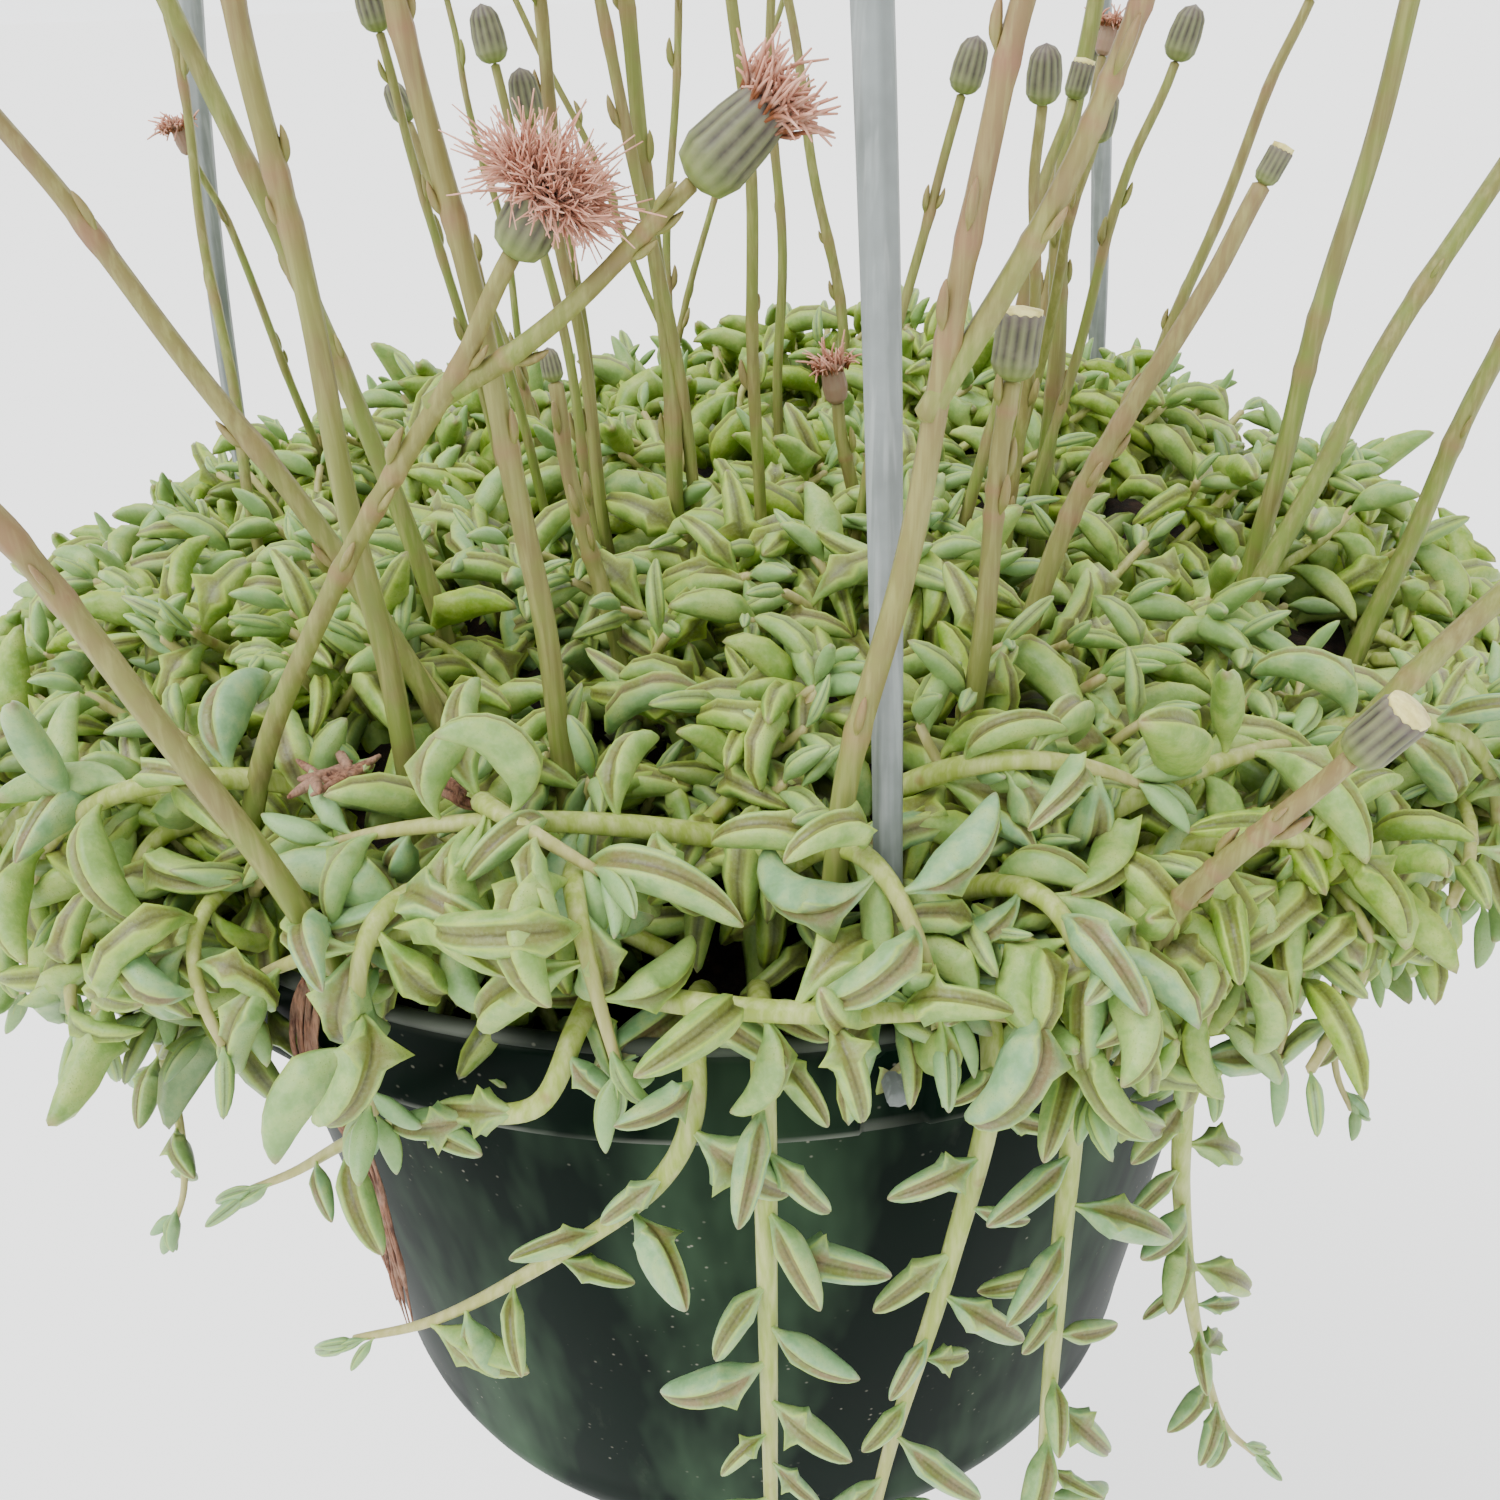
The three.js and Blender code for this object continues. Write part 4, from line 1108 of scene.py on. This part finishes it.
def head_cup(surface, base, axis, radius, length, profile, dry, cut):
    """A turned cup of narrow bracts: its radius has 13 ribs, with the deepest grooves from its middle
    up. The far pole stands a little proud, except on a cut head."""
    widths, share = np.transpose(profile)
    count, sides = 26, 52
    even = np.linspace(share[0], share[-1], count)
    sizes = np.interp(even, share, widths)
    path = base + axis * (even * length)[:, None]
    angle = np.arange(sides) * 2 * np.pi / sides
    rib = 0.5 + 0.5 * np.cos(13 * angle)
    _, side, normal = path_frames(path[None])
    swell = 1 - 0.09 * (1 - rib)[None, :] * smooth(0.0, 0.5, even)[:, None]
    across = np.cos(angle)[:, None] * side[0][:, None] + np.sin(angle)[:, None] * normal[0][:, None]
    rings = path[:, None] + (sizes * radius)[:, None, None] * swell[..., None] * across
    top = path[-1:] + axis * (0 if cut else 0.05 * length)
    vertices = np.concatenate([rings.reshape(-1, 3), path[:1], top])[None]
    surface.add(vertices, *ring_faces(count, sides), rib=with_poles(np.tile(rib, count)),
                along=with_poles(np.repeat(even / share[-1], sides), 0, 1), dry=dry, fluff=0.0, cut=0.0)


def head_hairs(surface, base, axis, rng, scale, count, spread, length, thick, droop, dry):
    """Fine curved hairs that fan out of a small disc, up to spread radians from the head's axis."""
    _, side, normal = path_frames(np.stack([base, base + axis])[None])
    side, normal = side[0, 0], normal[0, 0]
    turn = rng.uniform(0, 2 * np.pi, count)
    tilt = np.sqrt(rng.uniform(0, 1, count)) * spread
    spoke = np.cos(turn)[:, None] * side + np.sin(turn)[:, None] * normal
    start = base + spoke * (rng.uniform(0, 1, count) * 3.2 * MM)[:, None]
    heading = unit(axis * np.cos(tilt)[:, None] + spoke * np.sin(tilt)[:, None])
    size = length * MM * scale * rng.uniform(0.6, 1.1, count)[:, None]
    bend = start + heading * size * 0.6 + rng.normal(0, 0.12, (count, 3)) * size
    end = start + heading * size * 0.85 + rng.normal(0, 0.36, (count, 3)) * size - [0, 0, droop * MM]
    taper = np.array([0.8, 1, 1, 0.8, 0.5])
    surface.add_tubes(bezier(start, bend, end, len(taper)), thick * MM * taper, 4,
                      dict(fluff=1.0, rib=0.0, dry=dry, cut=0.0))


# The outline of each kind of cup, as radius and height shares.
CUPS = {
    "bud": [(0.35, 0.0), (0.72, 0.06), (0.98, 0.2), (1.0, 0.5), (0.86, 0.82), (0.55, 0.97), (0.3, 1.0)],
    "fluff": [(0.35, 0.0), (0.7, 0.06), (0.9, 0.2), (0.92, 0.6), (0.98, 0.8), (0.9, 0.84)],
    "opening": [(0.35, 0.0), (0.8, 0.07), (1.0, 0.25), (0.92, 0.6), (0.8, 0.85), (0.72, 0.92)],
    "spent": [(0.35, 0.0), (0.6, 0.08), (0.7, 0.3), (0.62, 0.6), (0.8, 0.72)],
    "cut": [(0.35, 0.0), (0.7, 0.06), (0.9, 0.2), (0.9, 0.8), (0.82, 0.82)],
}

# The hairs of each kind: where they start as a height share, how many, their spread in radians, their
# length, thickness and droop in mm, and how dry they are.
HAIRS = {
    "fluff": dict(start=0.7, count=1700, spread=1.75, length=7.2, thick=0.15, droop=0, dry=0.0),
    "opening": dict(start=0.8, count=260, spread=0.5, length=6, thick=0.24, droop=0, dry=0.5),
    "spent": dict(start=0.6, count=110, spread=0.6, length=6, thick=0.22, droop=1, dry=1.0),
}


def add_head(surface, kind, path, flower, rng, scale=1.0):
    """One head on the end of a stalk: its cup, with hairs, or with the pale disc of a cut face."""
    axis = unit(path[-1] - path[-6])
    radius, length = flower.head_radius * scale, flower.head_length * scale
    dry = 1.0 if kind == "spent" else 0.0
    base = path[-1] + axis * 0.3 * MM
    head_cup(surface, base, axis, radius, length, CUPS[kind], dry, kind == "cut")
    if kind in HAIRS:
        hairs = dict(HAIRS[kind])
        head_hairs(surface, base + axis * hairs.pop("start") * length, axis, rng, scale, **hairs)
    if kind == "cut":
        rim = base + axis * CUPS["cut"][-1][1] * length
        disc = np.stack([rim - axis * 0.2 * MM, rim + axis * 0.5 * MM])
        surface.add_tubes(disc, 0.8 * radius, 40, dict(cut=1.0, fluff=0.0, rib=0.0, dry=0.0, along=0.5),
                          round_end=0.15)


def make_flowers(flower):
    """Every stalk with its forks and its heads, and the thinner stalks behind them."""
    stalk_look, head_look = stalk_finish(flower), head_finish(flower)
    for i, stalk in enumerate(STALKS):
        rng = np.random.default_rng(STALK_SEED + i)
        number = f"{i + 1:02d}"
        path = smooth_path(stalk_path(**stalk), 60)
        tint = float(rng.uniform(0, 0.5)) if stalk["y"] < -60 else 0.8
        surface = Surface()
        add_stalk(surface, path, flower.stalk_radius, rng, tint)
        heads = Surface()
        scale = NIPPED.get(i + 1, HEAD_SCALES[stalk["head"]])
        add_head(heads, stalk["head"], path, flower, rng, scale)
        if "fork" in stalk:
            branch = smooth_path(branch_path(stalk), 40)
            add_stalk(surface, branch, flower.stalk_radius * 0.85, rng, tint)
            add_head(heads, "opening", branch, flower, rng, 0.9 if stalk["head"] == "fluff" else 0.5)
        surface.piece(f"stalk_{number}", stalk_look, "stalk", f"flower_stalk_{number}")
        slot = "head" if stalk["head"] in ("bud", "cut") else "fluff"
        heads.piece(f"head_{number}", head_look, slot, f"flower_head_{number}")
    make_thin_stalks(flower, stalk_look, head_look)


def make_thin_stalks(flower, stalk_look, head_look):
    """Thin stalks all over the mound, leaning outwards, with small buds and spent heads."""
    rng = np.random.default_rng(THIN_STALK_SEED)
    stalks, heads = Surface(), Surface()
    for i in range(flower.thin_stalks):
        azimuth = (i * GOLDEN_TURN + 100) % 360 - 180
        radius = mix(0.25, 0.85, rng.uniform()) * RIM_RADIUS
        if math.cos(math.radians(azimuth)) > 0.2:
            radius = radius * 0.6
        height = rng.uniform(95, 170) * MM
        lean = rng.uniform(4, 30) * MM
        swing = rng.normal(0, 14)
        share = STALK_SHARES
        path = around(azimuth + swing * share, radius + lean * share**1.3, mix(10 * MM, height, share))
        path = smooth_path(path, 36)
        thick = flower.stalk_radius * rng.uniform(0.55, 0.85)
        add_stalk(stalks, path, thick, rng, float(rng.uniform(0.4, 1.0)))
        kind = ("bud", "bud", "cut", "bud", "bud", "spent")[i % 6]
        add_head(heads, kind, path, flower, rng, 0.45 if kind == "cut" else 0.55)
    stalks.piece("thin_stalks", stalk_look, "stalk")
    heads.piece("thin_stalk_heads", head_look, "head")


# ------------------------------------------------------------------------------------------ litter


def make_litter(litter):
    """The torn bark strip, two loose pieces of bark and a dry stick."""
    finish = bark_finish(litter)
    rng = np.random.default_rng(LITTER_SEED)
    make_torn_bark(finish, rng)
    for number in (1, 2):
        make_loose_bark(finish, rng, number)
    make_stick(finish)


def make_torn_bark(finish, rng):
    """Fibres side by side along one route over the rim, each with its own waves and its own length."""
    steps = 70
    route = smooth_path([
        around(BARK_AZIMUTH, RIM_RADIUS - 12 * MM, 3.4 * MM),
        around(BARK_AZIMUTH, RIM_RADIUS + 0.5 * MM, 3.4 * MM),
        around(BARK_AZIMUTH - 0.5, RIM_RADIUS + 4 * MM, -6 * MM),
        around(BARK_AZIMUTH - 2, RIM_RADIUS - 4 * MM, -38 * MM),
        around(BARK_AZIMUTH - 4, RIM_RADIUS - 9 * MM, -84 * MM),
    ], steps)
    surface = Surface()
    _, side, _ = path_frames(route[None])
    share = np.linspace(0, 1, steps)[:, None]
    for i in range(9):
        place = i - 4
        drift = place * 0.55 * MM + 0.5 * MM * np.sin(share * rng.uniform(6, 16) + i)
        lift = 0.35 * MM * np.sin(share * rng.uniform(8, 18) + 2 * i)
        start = int(rng.uniform(0, 8))
        stop = steps - int(rng.uniform(0, 22) * (abs(place) / 4))
        strip = (route + around_axis(route) * drift + side[0] * lift)[start:stop]
        thick = 0.42 * MM * (1 + 0.3 * np.sin(share[start:stop, 0] * 40 + i))
        thick = thick * (1 - smooth(0.85, 1.0, np.linspace(0, 1, stop - start)) * 0.7)
        surface.add_tubes(strip, thick, 6)
    surface.piece("torn_bark", finish, "bark", "bark_strip")


def make_loose_bark(finish, rng, number):
    """A bundle of thick bent fibres, pointed at both ends, where the frame has the chunk."""
    node = f"bark_chunk_{number}"
    low, high = (np.array(corner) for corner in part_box(node))
    middle, size = (low + high) / 2, (high - low) / 2
    surface = Surface()
    for _ in range(7):
        offset = rng.normal(0, 0.35, 3) * size
        heading = unit(rng.normal(0, 1, 3) * [1, 1, 0.25]) * size.max()
        line = bezier(middle + offset - heading, middle + offset + rng.normal(0, 0.3, 3) * size,
                      middle + offset + heading, 14)
        surface.add_tubes(line, rng.uniform(0.5, 1.0) * MM * np.sin(np.linspace(0.35, 2.8, 14)), 7)
    surface.piece(f"loose_bark_{number}", finish, "bark", node)


def make_stick(finish):
    """A thin crooked stick that pokes out of the mound."""
    stick = smooth_path([around(-58, RIM_RADIUS + 46 * MM, -14 * MM),
                         around(-55, RIM_RADIUS + 27 * MM, -4 * MM),
                         around(-51, RIM_RADIUS + 9 * MM, 8 * MM)], 30)
    stick = stick + 0.5 * MM * np.stack([waves(stick, 12 * MM, seed) for seed in (1, 2, 3)], -1)
    surface = Surface()
    surface.add_tubes(stick, mix(0.5 * MM, 1.0 * MM, np.linspace(0, 1, 30)), 8, round_end=1.5)
    surface.piece("thin_stick", finish, "bark", "dry_stick")


# ------------------------------------------------------------------------------------------- stage


def make_stage(stage):
    """A floor and a sky, two soft lights, and the camera."""
    middle = np.array([0, 0, RIM_Z])
    make_floor(stage)
    make_sky(stage)
    for name, place, spread, power in (("key", (-0.6, -0.45, 1.2), 50, 2.2),
                                       ("back", (0.5, 0.9, 1.0), 60, 0.8)):
        lamp = bpy.data.lights.new(name, "SUN")
        lamp.energy, lamp.angle = power * stage.lamps, math.radians(spread)
        aim(placed(name, lamp), middle + place, middle)
    camera = bpy.data.cameras.new("camera")
    camera.sensor_width = 36
    camera.lens = stage.lens
    camera.clip_start = 0.005
    camera.clip_end = FLOOR_SIZE
    eye = middle + [2.1 * MM, -stage.camera_back, stage.camera_up]
    gaze = np.array([0, math.cos(stage.pitch), -math.sin(stage.pitch)])
    bpy.context.scene.camera = placed("camera", camera)
    aim(bpy.context.scene.camera, eye, eye + gaze, stage.roll)


def make_floor(stage):
    """A pale floor far below, so wide that its edge meets the sky at the horizon."""
    bpy.ops.mesh.primitive_plane_add(size=FLOOR_SIZE, location=(0, 0, POT_LOW[2] - stage.floor_drop))
    floor = bpy.context.object
    floor.name = "floor"
    finish = Finish("pale_floor", Roughness=0.9, Specular_IOR_Level=0.1)
    cloud = finish.noise(3, 2)
    finish.feed(Base_Color=finish.blend(cloud, linear(250, 250, 249), linear(253, 253, 252)))
    floor.data.materials.append(finish.material)


def make_sky(stage):
    """A soft sky, bright at the horizon, where it is as pale as the floor, and dimmer overhead."""
    world = bpy.data.worlds.new("soft_sky")
    world.use_nodes = True
    nodes, links = world.node_tree.nodes, world.node_tree.links
    place, split = nodes.new("ShaderNodeTexCoord"), nodes.new("ShaderNodeSeparateXYZ")
    fall = nodes.new("ShaderNodeMapRange")
    for socket, value in (("From Max", 0.4), ("To Min", stage.horizon), ("To Max", stage.sky)):
        fall.inputs[socket].default_value = value
    links.new(place.outputs["Generated"], split.inputs[0])
    links.new(split.outputs["Z"], fall.inputs["Value"])
    links.new(fall.outputs[0], nodes["Background"].inputs["Strength"])
    nodes["Background"].inputs["Color"].default_value = (0.97, 0.99, 1.0, 1)
    bpy.context.scene.world = world


def placed(name, data):
    """A new object for a lamp or a camera."""
    thing = bpy.data.objects.new(name, data)
    bpy.context.scene.collection.objects.link(thing)
    return thing


def aim(thing, place, target, roll=0.0):
    """Places a lamp or camera and points its -Z axis at the target, rolled about that line."""
    look = Vector(target) - Vector(place)
    turn = look.to_track_quat("-Z", "Y").to_matrix().to_4x4()
    thing.matrix_world = Matrix.Translation(Vector(place)) @ turn @ Matrix.Rotation(roll, 4, "Z")


# ------------------------------------------------------------------------- settings and operators


def number_of(name, description, default, **kind):
    """A setting that is a number."""
    return bpy.props.FloatProperty(name=name, description=description, default=default, **kind)


def length_of(name, description, default):
    """A setting that is a length in metres."""
    return number_of(name, description, default, unit="LENGTH", precision=4)


def count_of(name, description, default, least=0):
    """A setting that is a whole number."""
    return bpy.props.IntProperty(name=name, description=description, default=default, min=least)


def colour_of(name, description, *shown):
    """A setting that is a colour, given as display values from 0 to 255."""
    return bpy.props.FloatVectorProperty(name=name, description=description, size=4, subtype="COLOR",
                                         min=0, max=1, default=linear(*shown))


class PotSettings(bpy.types.PropertyGroup):
    """Sizes and colour of the pot."""

    collar_height: length_of("Collar height", "Rim to the collar's foot", 20 * MM)
    collar_foot_radius: length_of("Collar foot radius", "Outside radius of the collar's foot", 125 * MM)
    body_top_radius: length_of("Body top radius", "Outside radius under the collar", 111 * MM)
    body_foot_radius: length_of("Body foot radius", "Outside radius where the foot rounds in", 93 * MM)
    body_depth: length_of("Body depth", "Rim to the start of the rounded foot", 150 * MM)
    foot_round: length_of("Foot round", "Radius of the rounded foot", 24 * MM)
    wall: length_of("Wall", "Thickness of the wall", 1.8 * MM)
    drain_ring_radius: length_of("Drain ring", "Radius of the ring of drain holes", 48 * MM)
    drain_radius: length_of("Drain radius", "Radius of a drain hole", 4 * MM)
    colour: colour_of("Colour", "Main colour of the plastic", 1, 12, 6)


class HangerSettings(bpy.types.PropertyGroup):
    """Sizes and colour of the hanger."""

    arm_radius: length_of("Arm radius", "Radius of an arm at its thickest", 2.2 * MM)
    first_azimuth: number_of("First arm", "Degrees from the front to the first arm", 9.5)
    colour: colour_of("Colour", "Main colour of the hanger", 132, 139, 138)


class PlantSettings(bpy.types.PropertyGroup):
    """Number, size and colours of the leaves and stems."""

    shoots: count_of("Shoots", "Shoots in the top layer of the mound", 300, 1)
    seed: count_of("Seed", "Seed of the plant's random growth", 7)
    leaf_length: length_of("Leaf length", "Length of a grown leaf along its curve", 19.5 * MM)
    leaf_green: colour_of("Green", "Fresh green of the leaf's sides", 112, 142, 22)
    leaf_waxy: colour_of("Waxy green", "Pale green of the leaf's sides", 134, 164, 86)
    leaf_face: colour_of("Face", "Olive tone of the leaf's face", 106, 110, 42)
    leaf_ridge: colour_of("Ridge", "Light edges of the leaf's face", 172, 190, 70)
    stem_colour: colour_of("Stem", "Main colour of the stems", 140, 156, 62)


class FlowerSettings(bpy.types.PropertyGroup):
    """Sizes and colours of the flower stalks and heads."""

    stalk_radius: length_of("Stalk radius", "Radius of a stalk at its foot", 1.5 * MM)
    head_radius: length_of("Head radius", "Radius of a flower head", 4.6 * MM)
    head_length: length_of("Head length", "Length of a flower head", 14 * MM)
    thin_stalks: count_of("Thin stalks", "Thin stalks all over the mound", 24)
    stalk_low: colour_of("Stalk foot", "Colour at the foot of a stalk", 116, 128, 56)
    stalk_high: colour_of("Stalk top", "Colour at the top of a stalk", 128, 108, 68)
    cup_light: colour_of("Cup ribs", "Light ribs of a flower head", 108, 112, 76)
    cup_dark: colour_of("Cup grooves", "Dark grooves of a flower head", 52, 46, 40)
    fluff_colour: colour_of("Fluff", "Colour of the fluff's tips", 208, 152, 130)


class LitterSettings(bpy.types.PropertyGroup):
    """Colour of the bark and the stick."""

    bark_colour: colour_of("Bark", "Light fibres of the bark", 150, 106, 82)


class StageSettings(bpy.types.PropertyGroup):
    """Floor, light and camera."""

    floor_drop: length_of("Floor drop", "Base of the pot to the floor", 0.35)
    sky: number_of("Sky", "Strength of the light from above", 0.95)
    horizon: number_of("Horizon", "Strength of the light from the horizon", 2.75)
    lamps: number_of("Lamps", "Strength of the soft lights", 2.2)
    lens: number_of("Lens", "Focal length in mm on a 36 mm wide frame", 33.6)
    pitch: number_of("Pitch", "How far the camera looks down", math.radians(28.3), subtype="ANGLE")
    roll: number_of("Roll", "Camera roll", math.radians(-2.2), subtype="ANGLE")
    camera_back: length_of("Camera back", "Camera to the pot's axis", 271.7 * MM)
    camera_up: length_of("Camera height", "Camera above the rim", 122.3 * MM)


class BASKET_OT_pot(bpy.types.Operator):
    """Make the pot with its pockets and drain holes"""

    bl_idname = "basket.pot"
    bl_label = "Pot"

    def execute(self, context):
        make_pot(context.scene.basket_pot, context.scene.basket_hanger)
        return {"FINISHED"}


class BASKET_OT_soil(bpy.types.Operator):
    """Fill the pot with potting mix"""

    bl_idname = "basket.soil"
    bl_label = "Potting mix"

    def execute(self, context):
        make_soil(context.scene.basket_pot)
        return {"FINISHED"}


class BASKET_OT_hanger(bpy.types.Operator):
    """Make the three arms, the hub and the hook"""

    bl_idname = "basket.hanger"
    bl_label = "Hanger"

    def execute(self, context):
        make_hanger(context.scene.basket_pot, context.scene.basket_hanger)
        return {"FINISHED"}


class BASKET_OT_crown(bpy.types.Operator):
    """Grow the leafy mound"""

    bl_idname = "basket.crown"
    bl_label = "Leafy mound"

    def execute(self, context):
        make_crown(context.scene.basket_plant)
        return {"FINISHED"}


class BASKET_OT_strands(bpy.types.Operator):
    """Hang the trailing strands over the rim"""

    bl_idname = "basket.strands"
    bl_label = "Trailing strands"

    def execute(self, context):
        make_strands(context.scene.basket_plant)
        return {"FINISHED"}


class BASKET_OT_flowers(bpy.types.Operator):
    """Raise the flower stalks and their heads"""

    bl_idname = "basket.flowers"
    bl_label = "Flower stalks"

    def execute(self, context):
        make_flowers(context.scene.basket_flower)
        return {"FINISHED"}


class BASKET_OT_litter(bpy.types.Operator):
    """Lay the bark and the stick on the plant"""

    bl_idname = "basket.litter"
    bl_label = "Bark and stick"

    def execute(self, context):
        make_litter(context.scene.basket_litter)
        return {"FINISHED"}


class BASKET_OT_stage(bpy.types.Operator):
    """Set the floor, the lights and the camera"""

    bl_idname = "basket.stage"
    bl_label = "Stage"

    def execute(self, context):
        make_stage(context.scene.basket_stage)
        return {"FINISHED"}


OPERATORS = (BASKET_OT_stage, BASKET_OT_pot, BASKET_OT_soil, BASKET_OT_hanger, BASKET_OT_crown,
             BASKET_OT_strands, BASKET_OT_flowers, BASKET_OT_litter)
SETTINGS = {
    "basket_pot": PotSettings,
    "basket_hanger": HangerSettings,
    "basket_plant": PlantSettings,
    "basket_flower": FlowerSettings,
    "basket_litter": LitterSettings,
    "basket_stage": StageSettings,
}


class BASKET_PT_panel(bpy.types.Panel):
    """Lists what the basket is made of"""

    bl_label = "Hanging basket"
    bl_space_type = "VIEW_3D"
    bl_region_type = "UI"
    bl_category = "Basket"

    def draw(self, context):
        for operator in OPERATORS:
            self.layout.operator(operator.bl_idname)


def register():
    """Adds the settings, the operators and the panel."""
    for kind in (*SETTINGS.values(), *OPERATORS, BASKET_PT_panel):
        bpy.utils.register_class(kind)
    for name, kind in SETTINGS.items():
        setattr(bpy.types.Scene, name, bpy.props.PointerProperty(type=kind))


def unregister():
    """Takes them away again."""
    for name in SETTINGS:
        delattr(bpy.types.Scene, name)
    for kind in reversed((*SETTINGS.values(), *OPERATORS, BASKET_PT_panel)):
        bpy.utils.unregister_class(kind)


def main():
    """Makes the stage and every piece."""
    register()
    for operator in OPERATORS:
        getattr(bpy.ops.basket, operator.bl_idname.split(".")[1])()
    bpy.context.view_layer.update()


if __name__ == "__main__":
    main()
